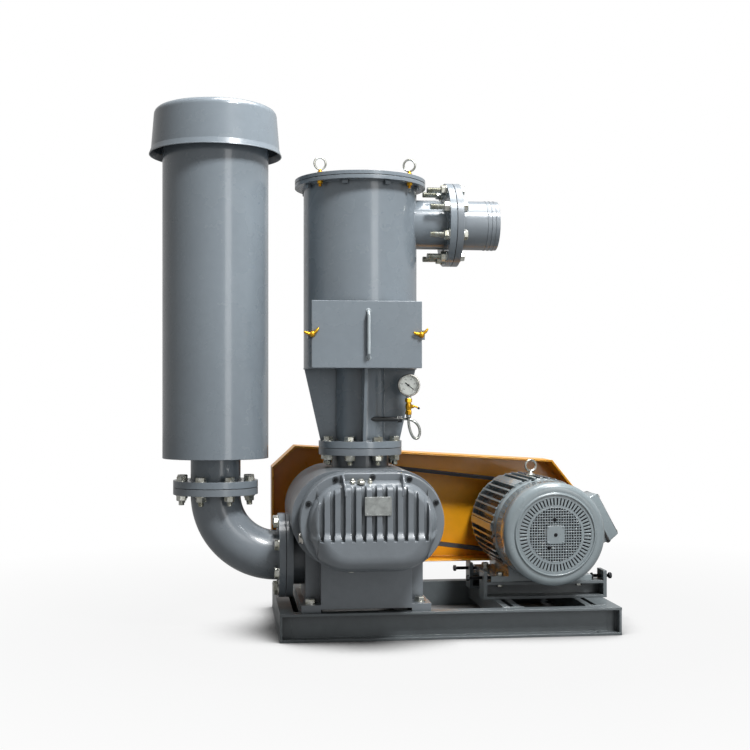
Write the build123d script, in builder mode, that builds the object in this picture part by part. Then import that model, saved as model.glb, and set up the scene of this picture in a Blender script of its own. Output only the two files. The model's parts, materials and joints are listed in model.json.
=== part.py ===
from build123d import *
from math import atan2, ceil, cos, degrees, hypot, pi, radians, sin, sqrt
import os

os.makedirs("parts", exist_ok=True)

# Belt-driven roots blower and vacuum pump on a steel skid, in millimetres.
# Origin: centre of the skid on the floor. X runs along the skid from the
# silencer to the motor, Y runs from the gear cover to the belts, Z is up.

# --- skid
base_length = 1120.0
base_depth = 680.0
base_height = 90.0
channel_width = 45.0
channel_web = 7.0
channel_lip = 8.0
anchor_hole = 18.0
anchor_spacing = 960.0

# --- pump
pump_x = -280.0
pump_margin = 222.0
shaft_height = 304.0
shaft_spacing = 180.0
casing_radius = 153.0
casing_length = 400.0
rotor_clearance = 0.25
lobe_count = 3
journal_bore = 45.0
bearing_outer = 100.0
bearing_width = 36.0
plate_thickness = 50.0
plate_step = 30.0
gear_case_depth = 92.0
gear_case_radius = 148.0
cover_arc_spacing = 144.0
cover_flange_radius = 152.5
cover_flange_thickness = 18.0
cover_depth = 62.0
cover_wall = 9.0
cover_screw_radius = 138.0
belly_radius = 148.0
belly_spacing = 112.0
rib_pitch = 32.0
rib_count = 11
rib_width = 20.0
pedestal_half_width = 193.0
pedestal_panel_half_width = 147.0
pedestal_setback = 66.0
foot_half_width = 210.0
foot_thickness = 24.0
foot_bolt_x = 178.0
foot_bolt_inset = 42.0
suction_rise = 63.0
discharge_height = 162.0
discharge_reach = 253.0

# --- timing gears
gear_teeth = 30
gear_width = 40.0
gear_backlash = 0.5
gear_seat = 40.0

# --- 150A pipe work
pipe_outer = 165.2
pipe_wall = 5.0
flange_outer = 280.0
flange_pitch_circle = 240.0
flange_hole = 23.0
flange_thickness = 22.0
flange_holes = 8
gasket_thickness = 2.0
bolt_size = 20.0
bolt_head_flats = 30.0
bolt_head_height = 13.0
nut_height = 16.0
thread_end = 6.0
elbow_face = 228.6
elbow_leg = 23.6

# --- discharge silencer and rain cap
silencer_outer = 350.0
silencer_wall = 4.0
silencer_gap = 74.0
silencer_length = 1084.0
silencer_outlet = 200.0
end_plate = 8.0
cap_rise = 1003.0
cap_mouth = 438.0
cap_foot = 424.0
cap_shoulder = 406.0
cap_flare = 20.0
cap_wall_height = 153.0
cap_dome = 14.0
cap_round = 24.0
cap_sheet = 3.0
stay_count = 4
stay_thickness = 6.0

# --- inlet filter
filter_outer = 381.0
filter_wall = 4.0
filter_lift = 265.0
filter_height = 618.0
ring_overhang = 29.5
eyebolt_offset = 16.5
ring_thickness = 12.0
lid_thickness = 12.0
gusset_thickness = 10.0
gusset_foot = 134.0
inlet_rise = 755.0
inlet_reach = 308.0
spigot_length = 156.0
element_outer = 300.0
element_inner = 190.0
element_height = 400.0
eyebolt_ring = 45.0
eyebolt_wire = 8.0
eyebolt_shank = 12.0

# --- filter door
door_width = 356.0
door_height = 216.0
door_plate = 6.0
door_seal = 5.0
door_reach = 200.0
door_box_width = 336.0
door_box_height = 196.0
door_box_wall = 8.0
handle_length = 150.0
handle_rise = 34.0
handle_wire = 12.0
wing_bolt_size = 10.0
wing_span = 46.0

# --- vacuum gauge
gauge_x = 153.0
gauge_y = -84.0
gauge_z = 819.5
tap_setback = 35.0
gauge_outer = 75.0
needle_rest = 129.0
gauge_depth = 30.0
siphon_tube = 9.0
siphon_z = 707.0
cock_bottom = 722.0
cock_top = 776.0

# --- motor
motor_x = 345.0
motor_height = 180.0
motor_frame_core = 150.0
motor_fin_radius = 178.0
motor_fin_count = 44
motor_fin_width = 7.0
motor_overhang = 53.0
motor_hub_reach = 42.0
motor_shaft = 48.0
motor_shaft_length = 110.0
motor_frame_length = 370.0
motor_shield = 20.0
cowl_radius = 171.0
cowl_length = 160.0
cowl_sheet = 3.0
cowl_overlap = 14.0
grille_radius = 136.0
motor_foot_spread = 139.5
motor_foot_inset = 50.0
motor_foot_spacing = 241.0
motor_foot_width = 74.0
motor_foot_thickness = 20.0

# --- slide rails
rail_height = 58.0
rail_width = 72.0
rail_length = 432.0
rail_x = 358.0
rail_wall = 9.0
rail_lug = 12.0
rail_lug_rise = 34.0
rail_slot = 18.0
adjuster_size = 12.0
adjuster_lift = 12.0
adjuster_flats = 19.0

# --- belt drive
belt_margin = 25.0
belt_count = 3
belt_pitch = 19.0
belt_top = 16.5
belt_depth = 13.0
belt_angle = 19.0
pump_pulley_outer = 276.0
motor_pulley_outer = 284.0
pulley_edge = 12.5
guard_left = -564.0
guard_right = 570.0
guard_bottom = 170.0
guard_top = 602.0
guard_corner = 85.0
guard_corner_rise = 79.0
guard_slope_end = 82.0
guard_slope_drop = 58.0
guard_slope_rise = 101.0
guard_reach = 63.0
guard_depth = 138.0
guard_sheet = 3.0

# --- values worked out from the sizes above
base_top = base_height
filter_ring = filter_outer + 2 * ring_overhang
eyebolt_circle = filter_outer + 2 * eyebolt_offset
port_y = pump_margin - base_depth / 2
belt_plane = base_depth / 2 - belt_margin
guard_front = belt_plane - guard_reach
motor_shoulder = belt_plane - motor_overhang
motor_frame_rear = motor_shoulder - motor_hub_reach
motor_frame_front = motor_frame_rear - motor_frame_length
motor_foot_front = motor_frame_front + motor_foot_inset
motor_foot_rear = motor_foot_front + motor_foot_spacing
pump_z = base_top + shaft_height
casing_front = port_y - casing_length / 2
casing_rear = port_y + casing_length / 2
suction_z = pump_z + casing_radius + suction_rise
discharge_z = base_top + discharge_height
discharge_x = pump_x - discharge_reach
silencer_x = discharge_x - gasket_thickness - elbow_face
silencer_face = discharge_z + elbow_face
silencer_bottom = silencer_face + gasket_thickness + flange_thickness + silencer_gap
silencer_top = silencer_bottom + silencer_length
drive_x = pump_x + shaft_spacing / 2
idle_x = pump_x - shaft_spacing / 2
pitch_radius = shaft_spacing / 2
lobe_roll = pitch_radius / (2 * lobe_count)
lobe_tip = pitch_radius + 2 * lobe_roll
bore_radius = lobe_tip + rotor_clearance
end_gap = 0.4
bearing_fit = 0.03
pipe_bore = pipe_outer - 2 * pipe_wall
gear_plate_front = casing_front - plate_thickness
cover_seat = gear_plate_front - gear_case_depth
cover_face = cover_seat - cover_flange_thickness
cover_front = cover_face - cover_depth
motor_z = base_top + rail_height + motor_height
joint_grip = 2 * flange_thickness + gasket_thickness


def front_plane(y, x=0.0, z=0.0):
    """Sketch plane looking at the front: local x right, local y up, normal towards -Y."""
    return Plane(origin=(x, y, z), x_dir=(1, 0, 0), z_dir=(0, -1, 0))


def side_plane(x, y=0.0, z=0.0):
    """Sketch plane seen from the right: local x to the rear, local y up, normal towards +X."""
    return Plane(origin=(x, y, z), x_dir=(0, 1, 0), z_dir=(1, 0, 0))


def finish_piece(builder, name):
    """Label one finished piece and write it as one STEP file."""
    builder.part.label = name
    export_step(builder.part, f"parts/{name}.step")


# one 150A joint, drawn once and used on every pipe face
hole_start = 180 / flange_holes
with BuildSketch() as flange_profile:
    Circle(flange_outer / 2)
    Circle(pipe_bore / 2, mode=Mode.SUBTRACT)
    with PolarLocations(flange_pitch_circle / 2, flange_holes, start_angle=hole_start):
        Circle(flange_hole / 2, mode=Mode.SUBTRACT)
with BuildSketch() as gasket_profile:
    Circle(flange_pitch_circle / 2 - flange_hole / 2 - 2)
    Circle(pipe_bore / 2, mode=Mode.SUBTRACT)
with BuildSketch() as pipe_profile:
    Circle(pipe_outer / 2)
    Circle(pipe_bore / 2, mode=Mode.SUBTRACT)
with BuildSketch() as hexagon_ring:
    with PolarLocations(flange_pitch_circle / 2, flange_holes, start_angle=hole_start):
        RegularPolygon(bolt_head_flats / 2, 6, major_radius=False)
with BuildSketch() as shank_ring:
    with PolarLocations(flange_pitch_circle / 2, flange_holes, start_angle=hole_start):
        Circle(bolt_size / 2)


# ---------------------------------------------------------------- skid
with BuildPart() as base_frame:
    inner_length = base_length - 2 * channel_width
    inner_depth = base_depth - 2 * channel_width
    for level, thickness, reach in (
        (0, channel_lip, channel_width),
        (channel_lip, base_height - 2 * channel_lip, channel_web),
        (base_height - channel_lip, channel_lip, channel_width),
    ):
        with BuildSketch(Plane.XY.offset(level)):
            Rectangle(inner_length + 2 * reach, inner_depth + 2 * reach)
            Rectangle(inner_length, inner_depth, mode=Mode.SUBTRACT)
        extrude(amount=thickness)
    anchor_line = base_depth - (channel_width - channel_web)
    with Locations((0, 0, channel_lip)):
        with GridLocations(anchor_spacing, anchor_line, 2, 2):
            Hole(anchor_hole / 2, depth=channel_lip)
finish_piece(base_frame, "base_frame")

strip_width = 22.0
strip_gap = 16.0
beam_width = 76.0
beam_height = 62.0
beam_wall = 8.0
pump_beam_spots = [(pump_x + side * foot_bolt_x, 0) for side in (-1, 1)]
motor_beam_spots = [(motor_x + side * motor_foot_spread, 0) for side in (-1, 1)]
foot_bolt_ys = (casing_front + foot_bolt_inset, casing_rear - foot_bolt_inset)
foot_bolt_spots = [(x, y) for x, _ in pump_beam_spots for y in foot_bolt_ys]
with BuildPart() as cross_members:
    with BuildSketch(Plane.XY.offset(base_top)):
        with Locations(*pump_beam_spots):
            Rectangle(beam_width, inner_depth)
        with Locations(*motor_beam_spots):
            Rectangle(2 * strip_width + strip_gap, inner_depth)
    extrude(amount=-beam_height)
    with BuildSketch(Plane.XY.offset(base_top - beam_wall)):
        with Locations(*pump_beam_spots):
            Rectangle(beam_width - 2 * beam_wall, inner_depth)
        with Locations(*motor_beam_spots):
            Rectangle(2 * (strip_width - beam_wall) + strip_gap, inner_depth)
    extrude(amount=-beam_height, mode=Mode.SUBTRACT)
    with BuildSketch(Plane.XY.offset(base_top)):
        with Locations(*motor_beam_spots):
            Rectangle(strip_gap, inner_depth)
        with Locations(*foot_bolt_spots):
            Circle(bolt_size / 2)
    extrude(amount=-beam_wall, mode=Mode.SUBTRACT)
finish_piece(cross_members, "cross_members")

# ---------------------------------------------------------------- pump casing
neck_outer = 192.0
discharge_neck = 196.0
sole_relief = 10.0
stud_depth = 32.0
with BuildPart() as pump_casing:
    with BuildSketch(front_plane(casing_front, pump_x, pump_z)):
        SlotCenterToCenter(shaft_spacing, 2 * casing_radius)
    extrude(amount=-casing_length)
    # pedestal: a body with a raised panel at each end, on two foot flanges
    pedestal_rise = shaft_height - foot_thickness
    with BuildSketch(Plane.XY.offset(base_top + foot_thickness)):
        with Locations((pump_x, port_y)):
            Rectangle(2 * pedestal_half_width, casing_length - 2 * pedestal_setback)
            Rectangle(2 * pedestal_panel_half_width, casing_length)
    extrude(amount=pedestal_rise)
    with BuildSketch(Plane.XY.offset(base_top)):
        with Locations((pump_x, port_y)):
            Rectangle(2 * foot_half_width, casing_length)
    extrude(amount=foot_thickness)
    with BuildSketch(Plane.XY.offset(base_top)):
        with Locations((pump_x, port_y)):
            Rectangle(2 * pedestal_panel_half_width, casing_length)
    extrude(amount=sole_relief, mode=Mode.SUBTRACT)
    # suction nozzle on top
    with BuildSketch(Plane.XY.offset(pump_z)):
        with Locations((pump_x, port_y)):
            Circle(neck_outer / 2)
    extrude(amount=casing_radius + suction_rise - flange_thickness)
    with BuildSketch(Plane.XY.offset(suction_z)):
        with Locations((pump_x, port_y)):
            add(flange_profile.sketch)
    extrude(amount=-flange_thickness)
    # discharge nozzle on the left side
    with BuildSketch(side_plane(discharge_x + flange_thickness, port_y, discharge_z)):
        Circle(discharge_neck / 2)
    extrude(amount=discharge_reach - pedestal_panel_half_width)
    with BuildSketch(side_plane(discharge_x, port_y, discharge_z)):
        Circle(flange_outer / 2)
    extrude(amount=flange_thickness)
    # rotor chamber, suction bore, and the gallery that opens its floor to the discharge
    with BuildSketch(front_plane(casing_front, pump_x, pump_z)):
        SlotCenterToCenter(shaft_spacing, 2 * bore_radius)
    extrude(amount=-casing_length, mode=Mode.SUBTRACT)
    with BuildSketch(Plane.XY.offset(suction_z)):
        with Locations((pump_x, port_y)):
            Circle(pipe_bore / 2)
    extrude(amount=-(casing_radius + suction_rise), mode=Mode.SUBTRACT)
    with BuildSketch(side_plane(discharge_x, port_y, discharge_z)):
        Circle(pipe_bore / 2)
    extrude(amount=discharge_reach + pedestal_panel_half_width, mode=Mode.SUBTRACT)
    # tapped holes for the discharge studs, and the foot bolt holes
    with BuildSketch(side_plane(discharge_x, port_y, discharge_z)):
        with PolarLocations(flange_pitch_circle / 2, flange_holes, start_angle=180 / flange_holes):
            Circle(bolt_size / 2)
    extrude(amount=stud_depth, mode=Mode.SUBTRACT)
    with BuildSketch(Plane.XY.offset(base_top)):
        with Locations(*foot_bolt_spots):
            Circle(bolt_size / 2)
    extrude(amount=foot_thickness, mode=Mode.SUBTRACT)
finish_piece(pump_casing, "pump_casing")

# ---------------------------------------------------------------- end plates and covers
gear_chamber_radius = 104.0
with BuildPart() as front_end_plate:
    with BuildSketch(front_plane(casing_front, pump_x, pump_z)):
        SlotCenterToCenter(shaft_spacing, 2 * casing_radius)
    extrude(amount=plate_step)
    with BuildSketch(front_plane(casing_front - plate_step, pump_x, pump_z)):
        SlotCenterToCenter(cover_arc_spacing, 2 * gear_case_radius)
    extrude(amount=plate_thickness + gear_case_depth - plate_step)
    with BuildSketch(front_plane(gear_plate_front, pump_x, pump_z)):
        SlotCenterToCenter(shaft_spacing, 2 * gear_chamber_radius)
    extrude(amount=gear_case_depth, mode=Mode.SUBTRACT)
    for x in (drive_x, idle_x):
        with BuildSketch(front_plane(casing_front, x, pump_z)):
            Circle(journal_bore / 2 + 1)
        extrude(amount=plate_thickness, mode=Mode.SUBTRACT)
        with BuildSketch(front_plane(gear_plate_front, x, pump_z)):
            Circle(bearing_outer / 2)
        extrude(amount=-bearing_width, mode=Mode.SUBTRACT)
finish_piece(front_end_plate, "front_end_plate")

rear_plate_face = casing_rear + plate_thickness
with BuildPart() as rear_end_plate:
    with BuildSketch(front_plane(casing_rear, pump_x, pump_z)):
        SlotCenterToCenter(shaft_spacing, 2 * casing_radius)
    extrude(amount=-plate_thickness)
    fillet(rear_end_plate.faces().sort_by(Axis.Y)[-1].edges(), radius=10)
    for x in (drive_x, idle_x):
        with BuildSketch(front_plane(casing_rear, x, pump_z)):
            Circle(journal_bore / 2 + 1)
        extrude(amount=-plate_thickness, mode=Mode.SUBTRACT)
        with BuildSketch(front_plane(rear_plate_face, x, pump_z)):
            Circle(bearing_outer / 2)
        extrude(amount=bearing_width, mode=Mode.SUBTRACT)
finish_piece(rear_end_plate, "rear_end_plate")

bearing_cover_depth = 26.0
bearing_cover_radius = 66.0
seal_outer = 62.0
seal_width = 10.0
drive_shaft_size = 42.0
with BuildPart() as bearing_cover:
    with BuildSketch(front_plane(rear_plate_face, pump_x, pump_z)):
        SlotCenterToCenter(shaft_spacing, 2 * bearing_cover_radius)
    extrude(amount=-bearing_cover_depth)
    fillet(bearing_cover.faces().sort_by(Axis.Y)[-1].edges(), radius=6)
    with BuildSketch(front_plane(rear_plate_face, pump_x, pump_z)):
        SlotCenterToCenter(shaft_spacing, bearing_outer - 8)
    extrude(amount=-(bearing_cover_depth - 2 * seal_width / 2), mode=Mode.SUBTRACT)
    with BuildSketch(front_plane(rear_plate_face, drive_x, pump_z)):
        Circle(seal_outer / 2)
    extrude(amount=-bearing_cover_depth, mode=Mode.SUBTRACT)
finish_piece(bearing_cover, "bearing_cover")

with BuildPart() as shaft_seal:
    with BuildSketch(front_plane(rear_plate_face + bearing_cover_depth - seal_width, drive_x, pump_z)):
        Circle(seal_outer / 2)
        Circle(drive_shaft_size / 2 + 0.05, mode=Mode.SUBTRACT)
    extrude(amount=-seal_width)
finish_piece(shaft_seal, "shaft_seal")

# gear cover: a flat flange, a hollow ribbed crown and a smooth belly below the ribs
crown_radius = 128.0
rib_top = 92.0
rib_foot = 50.0
rib_depth = 20.0
crown_round = 14.0
with BuildPart() as cover_belly:
    with BuildSketch(front_plane(cover_face, pump_x, pump_z)):
        SlotCenterToCenter(belly_spacing, 2 * belly_radius)
        with Locations((0, belly_radius - rib_foot)):
            Rectangle(belly_spacing + 2 * belly_radius, 2 * belly_radius, mode=Mode.SUBTRACT)
    extrude(amount=cover_depth, taper=14)
    fillet(cover_belly.faces().sort_by(Axis.Y)[0].edges(), radius=crown_round)
with BuildPart() as gear_cover:
    with BuildSketch(front_plane(cover_seat, pump_x, pump_z)):
        SlotCenterToCenter(cover_arc_spacing, 2 * cover_flange_radius)
    extrude(amount=cover_flange_thickness)
    with BuildSketch(front_plane(cover_face, pump_x, pump_z)):
        SlotCenterToCenter(cover_arc_spacing, 2 * crown_radius)
    extrude(amount=cover_depth, taper=14)
    fillet(gear_cover.faces().sort_by(Axis.Y)[0].edges(), radius=crown_round)
    # grooves between the ribs, closed by the scalloped ledge at their foot
    groove = rib_pitch - rib_width
    with BuildSketch(front_plane(cover_front, pump_x, pump_z)):
        for index in range(rib_count):
            offset_x = (index - (rib_count - 1) / 2) * rib_pitch
            reach = sqrt(max(crown_radius**2 - max(abs(offset_x) - cover_arc_spacing / 2, 0) ** 2, 0))
            crest = min(rib_top, reach - 26)
            with Locations((offset_x, (crest - rib_foot) / 2)):
                SlotOverall(crest + rib_foot, groove, rotation=90)
    extrude(amount=-rib_depth, mode=Mode.SUBTRACT)
    add(cover_belly.part)
    with BuildSketch(front_plane(cover_seat, pump_x, pump_z)):
        SlotCenterToCenter(cover_arc_spacing, 2 * (crown_radius - cover_wall - 12))
    extrude(amount=cover_flange_thickness + cover_depth - rib_depth - cover_wall, mode=Mode.SUBTRACT, taper=8)
finish_piece(gear_cover, "gear_cover")


# ---------------------------------------------------------------- rotors
def lobe_outline(first_lobe, clearance):
    """Points of a cycloidal rotor: rolled crests and hollows, drawn in by the clearance."""
    points = []
    steps = 8
    for arch in range(2 * lobe_count):
        crest = arch % 2 == 0
        roll = lobe_roll if crest else -lobe_roll
        centre = radians(first_lobe + arch * 180 / lobe_count)
        for step in range(steps):
            turn = 2 * pi * (step + 0.5) / steps
            contact = centre + (turn - pi) * lobe_roll / pitch_radius
            touch_x = pitch_radius * cos(contact)
            touch_y = pitch_radius * sin(contact)
            spin = contact + (turn if crest else -turn)
            x = (pitch_radius + roll) * cos(contact) - roll * cos(spin)
            y = (pitch_radius + roll) * sin(contact) - roll * sin(spin)
            away = hypot(x - touch_x, y - touch_y)
            inset = (-clearance if crest else clearance) / away
            points.append((x + (x - touch_x) * inset, y + (y - touch_y) * inset))
    return points


rotor_front = casing_front + end_gap
rotor_body = casing_length - 2 * end_gap
journal = journal_bore / 2 - bearing_fit
gear_front = gear_plate_front - gear_case_depth / 2 - gear_width / 2
gear_rear = gear_front + gear_width
bearing_face = rear_plate_face + 4
drive_shaft_end = belt_plane + 38.0


def make_rotor(x, first_lobe, rear_end):
    """One lobed rotor with its shaft, journals and timing-gear seat."""
    with BuildPart() as rotor:
        with BuildSketch(front_plane(rotor_front, x, pump_z)):
            with BuildLine():
                Spline(*lobe_outline(first_lobe, rotor_clearance), periodic=True)
            make_face()
        extrude(amount=-rotor_body)
        with BuildSketch(front_plane(gear_rear, x, pump_z)):
            Circle(journal)
        extrude(amount=-(bearing_face - gear_rear))
        with BuildSketch(front_plane(gear_front - thread_end, x, pump_z)):
            Circle(gear_seat / 2)
        extrude(amount=-(gear_rear - gear_front + thread_end))
        if rear_end > bearing_face:
            with BuildSketch(front_plane(bearing_face, x, pump_z)):
                Circle(drive_shaft_size / 2)
            extrude(amount=-(rear_end - bearing_face))
    return rotor


first_drive_lobe = 90.0
first_idle_lobe = first_drive_lobe + 180 / lobe_count
drive_rotor = make_rotor(drive_x, first_drive_lobe, drive_shaft_end)
finish_piece(drive_rotor, "drive_rotor")
idle_rotor = make_rotor(idle_x, first_idle_lobe, bearing_face)
finish_piece(idle_rotor, "idle_rotor")


# ---------------------------------------------------------------- timing gears
def make_timing_gear(x, first_tooth):
    """Spur gear with involute flanks; its teeth start at the angle first_tooth."""
    module = 2 * pitch_radius / gear_teeth
    pressure = radians(20)
    base_circle = pitch_radius * cos(pressure)
    tip = pitch_radius + module
    root = pitch_radius - 1.25 * module
    half_tooth = pi / (2 * gear_teeth) - gear_backlash / (4 * pitch_radius)
    at_pitch = sqrt((pitch_radius / base_circle) ** 2 - 1)

    def flank(radius, side, centre):
        unwound = sqrt(max((radius / base_circle) ** 2 - 1, 0))
        roll_angle = (at_pitch - atan2(at_pitch, 1)) - (unwound - atan2(unwound, 1))
        angle = centre + side * (half_tooth + roll_angle)
        return (radius * cos(angle), radius * sin(angle))

    with BuildPart() as gear:
        with BuildSketch(front_plane(gear_rear, x, pump_z)):
            with BuildLine():
                for tooth in range(gear_teeth):
                    centre = radians(first_tooth) + tooth * 2 * pi / gear_teeth
                    after = centre + 2 * pi / gear_teeth
                    rising = [flank(r, -1, centre) for r in (base_circle, pitch_radius, tip)]
                    falling = [flank(r, 1, centre) for r in (tip, pitch_radius, base_circle)]
                    following = flank(base_circle, -1, after)
                    floor = [
                        (root * cos(a), root * sin(a))
                        for a in (centre + 1.2 * half_tooth, after - 1.2 * half_tooth)
                    ]
                    ThreePointArc(*rising)
                    Line(rising[2], falling[0])
                    ThreePointArc(*falling)
                    Polyline(falling[2], floor[0], floor[1], following)
            make_face()
            Circle(gear_seat / 2, mode=Mode.SUBTRACT)
            with PolarLocations(pitch_radius * 0.6, 6):
                Circle(pitch_radius * 0.14, mode=Mode.SUBTRACT)
        extrude(amount=gear_width)
    return gear


drive_gear = make_timing_gear(drive_x, 0.0)
finish_piece(drive_gear, "drive_timing_gear")
idle_gear = make_timing_gear(idle_x, 180 / gear_teeth)
finish_piece(idle_gear, "idle_timing_gear")

with BuildPart() as pump_bearings:
    for seat in (gear_plate_front + bearing_width, rear_plate_face):
        with BuildSketch(front_plane(seat, pump_x, pump_z)):
            with Locations((-pitch_radius, 0), (pitch_radius, 0)):
                Circle(bearing_outer / 2)
                Circle(journal_bore / 2, mode=Mode.SUBTRACT)
        extrude(amount=bearing_width)
        for side in (seat, seat - bearing_width):
            with BuildSketch(front_plane(side, pump_x, pump_z)):
                with Locations((-pitch_radius, 0), (pitch_radius, 0)):
                    Circle(bearing_outer / 2 - 9)
                    Circle(journal_bore / 2 + 8, mode=Mode.SUBTRACT)
            extrude(amount=2, both=True, mode=Mode.SUBTRACT)
finish_piece(pump_bearings, "pump_bearings")

# ---------------------------------------------------------------- small parts of the pump
screw_head = 16.0
screw_height = 9.0
screw_size = 10.0
screw_angles = (0, 24, 72, 108, 156, 180)
with BuildPart() as cover_screws:
    screw_spots = [
        (
            (1 if cos(radians(angle)) > 0 else -1) * cover_arc_spacing / 2
            + cover_screw_radius * cos(radians(angle)),
            cover_screw_radius * sin(radians(angle)),
        )
        for angle in screw_angles
    ]
    screw_spots.append((0, cover_screw_radius))
    with BuildSketch(front_plane(cover_face, pump_x, pump_z)):
        with Locations(*screw_spots):
            Circle(screw_head / 2)
            RegularPolygon(screw_size / 2, 6, mode=Mode.SUBTRACT)
    extrude(amount=screw_height)
    with BuildSketch(front_plane(cover_face, pump_x, pump_z)):
        with Locations(*screw_spots):
            Circle(screw_head / 2)
    extrude(amount=screw_height / 2)
finish_piece(cover_screws, "cover_screws")

plate_width = 82.0
plate_height = 58.0
plate_sheet = 3.0
plate_across = 11.0
plate_up = 54.0
with BuildPart() as nameplate:
    with BuildSketch(front_plane(cover_front, pump_x + plate_across, pump_z + plate_up)):
        RectangleRounded(plate_width, plate_height, 3)
    extrude(amount=plate_sheet)
finish_piece(nameplate, "nameplate")

plug_flats = 24.0
plug_height = 12.0
plug_seat = pump_z + crown_radius - plug_height
fill_x = pump_x - 38
drain_x = pump_x - 62
with BuildPart() as oil_plugs:
    with BuildSketch(Plane.XY.offset(plug_seat)):
        with Locations((fill_x, cover_face - 20)):
            Circle(plug_flats / 2)
    extrude(amount=plug_height)
    with BuildSketch(Plane.XY.offset(plug_seat + plug_height)):
        with Locations((fill_x, cover_face - 20)):
            RegularPolygon(plug_flats / 2, 6, major_radius=False)
    extrude(amount=plug_height)
    with BuildSketch(Plane.XY.offset(pump_z - gear_case_radius)):
        with Locations((drain_x, cover_seat + 30)):
            RegularPolygon(plug_flats / 2, 6, major_radius=False)
    extrude(amount=-plug_height)
    add(gear_cover.part, mode=Mode.SUBTRACT)
finish_piece(oil_plugs, "oil_plugs")

sight_outer = 34.0
sight_z = pump_z - 52.0
sight_x = pump_x - cover_arc_spacing / 2 - gear_case_radius
with BuildPart() as sight_glass:
    with BuildSketch(side_plane(sight_x + 6, cover_seat + 40, sight_z)):
        Circle(sight_outer / 2)
    extrude(amount=-30)
    with BuildSketch(side_plane(sight_x - 24, cover_seat + 40, sight_z)):
        Circle(sight_outer / 2 - 6)
    extrude(amount=3, mode=Mode.SUBTRACT)
    add(front_end_plate.part, mode=Mode.SUBTRACT)
finish_piece(sight_glass, "oil_sight_glass")

with BuildPart() as pump_foot_bolts:
    with BuildSketch(Plane.XY.offset(base_top + foot_thickness)):
        with Locations(*foot_bolt_spots):
            RegularPolygon(bolt_head_flats / 2, 6, major_radius=False)
    extrude(amount=bolt_head_height)
    with BuildSketch(Plane.XY.offset(base_top + foot_thickness)):
        with Locations(*foot_bolt_spots):
            Circle(bolt_size / 2)
    extrude(amount=-(foot_thickness + beam_wall + nut_height + thread_end))
    with BuildSketch(Plane.XY.offset(base_top - beam_wall)):
        with Locations(*foot_bolt_spots):
            RegularPolygon(bolt_head_flats / 2, 6, major_radius=False)
    extrude(amount=-nut_height)
finish_piece(pump_foot_bolts, "pump_foot_bolts")

# ---------------------------------------------------------------- discharge elbow
elbow_inlet = discharge_x - gasket_thickness
elbow_radius = elbow_face - elbow_leg
with BuildPart() as discharge_elbow:
    with BuildLine():
        FilletPolyline(
            (elbow_inlet, port_y, discharge_z),
            (silencer_x, port_y, discharge_z),
            (silencer_x, port_y, silencer_face),
            radius=elbow_radius,
        )
    with BuildSketch(side_plane(elbow_inlet, port_y, discharge_z)):
        add(pipe_profile.sketch)
    sweep()
    with BuildSketch(side_plane(elbow_inlet, port_y, discharge_z)):
        add(flange_profile.sketch)
    extrude(amount=-flange_thickness)
    with BuildSketch(Plane.XY.offset(silencer_face)):
        with Locations((silencer_x, port_y)):
            add(flange_profile.sketch)
    extrude(amount=-flange_thickness)
finish_piece(discharge_elbow, "discharge_elbow")

# ---------------------------------------------------------------- gaskets, bolts and nuts
inlet_z = suction_z + inlet_rise
filter_foot = suction_z + gasket_thickness
inlet_face = pump_x + inlet_reach
silencer_seat = silencer_face + gasket_thickness
joint_gaskets = (
    side_plane(elbow_inlet, port_y, discharge_z),
    Plane((silencer_x, port_y, silencer_face), z_dir=(0, 0, 1)),
    Plane((pump_x, port_y, suction_z), z_dir=(0, 0, 1)),
    side_plane(inlet_face, port_y, inlet_z),
)
with BuildPart() as flange_gaskets:
    for seat in joint_gaskets:
        with BuildSketch(seat):
            add(gasket_profile.sketch)
        extrude(amount=gasket_thickness)
finish_piece(flange_gaskets, "flange_gaskets")

through_joints = (joint_gaskets[1], joint_gaskets[2], joint_gaskets[3])
with BuildPart() as flange_bolts:
    for seat in through_joints:
        with BuildSketch(seat.offset(gasket_thickness + flange_thickness)):
            add(hexagon_ring.sketch)
        extrude(amount=bolt_head_height)
        with BuildSketch(seat.offset(gasket_thickness + flange_thickness)):
            add(shank_ring.sketch)
        extrude(amount=-(joint_grip + nut_height + thread_end))
        with BuildSketch(seat.offset(-flange_thickness)):
            add(hexagon_ring.sketch)
        extrude(amount=-nut_height)
    # the discharge flange has no room for nuts: its bolts screw into the casing
    with BuildSketch(joint_gaskets[0].offset(-flange_thickness)):
        add(hexagon_ring.sketch)
    extrude(amount=-bolt_head_height)
    with BuildSketch(joint_gaskets[0].offset(-flange_thickness)):
        add(shank_ring.sketch)
    extrude(amount=flange_thickness + gasket_thickness + stud_depth)
finish_piece(flange_bolts, "flange_bolts")

# ---------------------------------------------------------------- silencer and rain cap
cap_mouth_z = silencer_bottom + cap_rise
cap_slope = (cap_foot - cap_shoulder) / 2 / (cap_wall_height - cap_round - cap_flare)
stay_low = 40.0
stay_high = 75.0
stay_clear = 0.1


def stay_reach(height):
    """Radius a hair inside the rain cap's inner wall at this height above its mouth."""
    return cap_foot / 2 - cap_sheet - cap_slope * (height - cap_flare) - stay_clear


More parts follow.
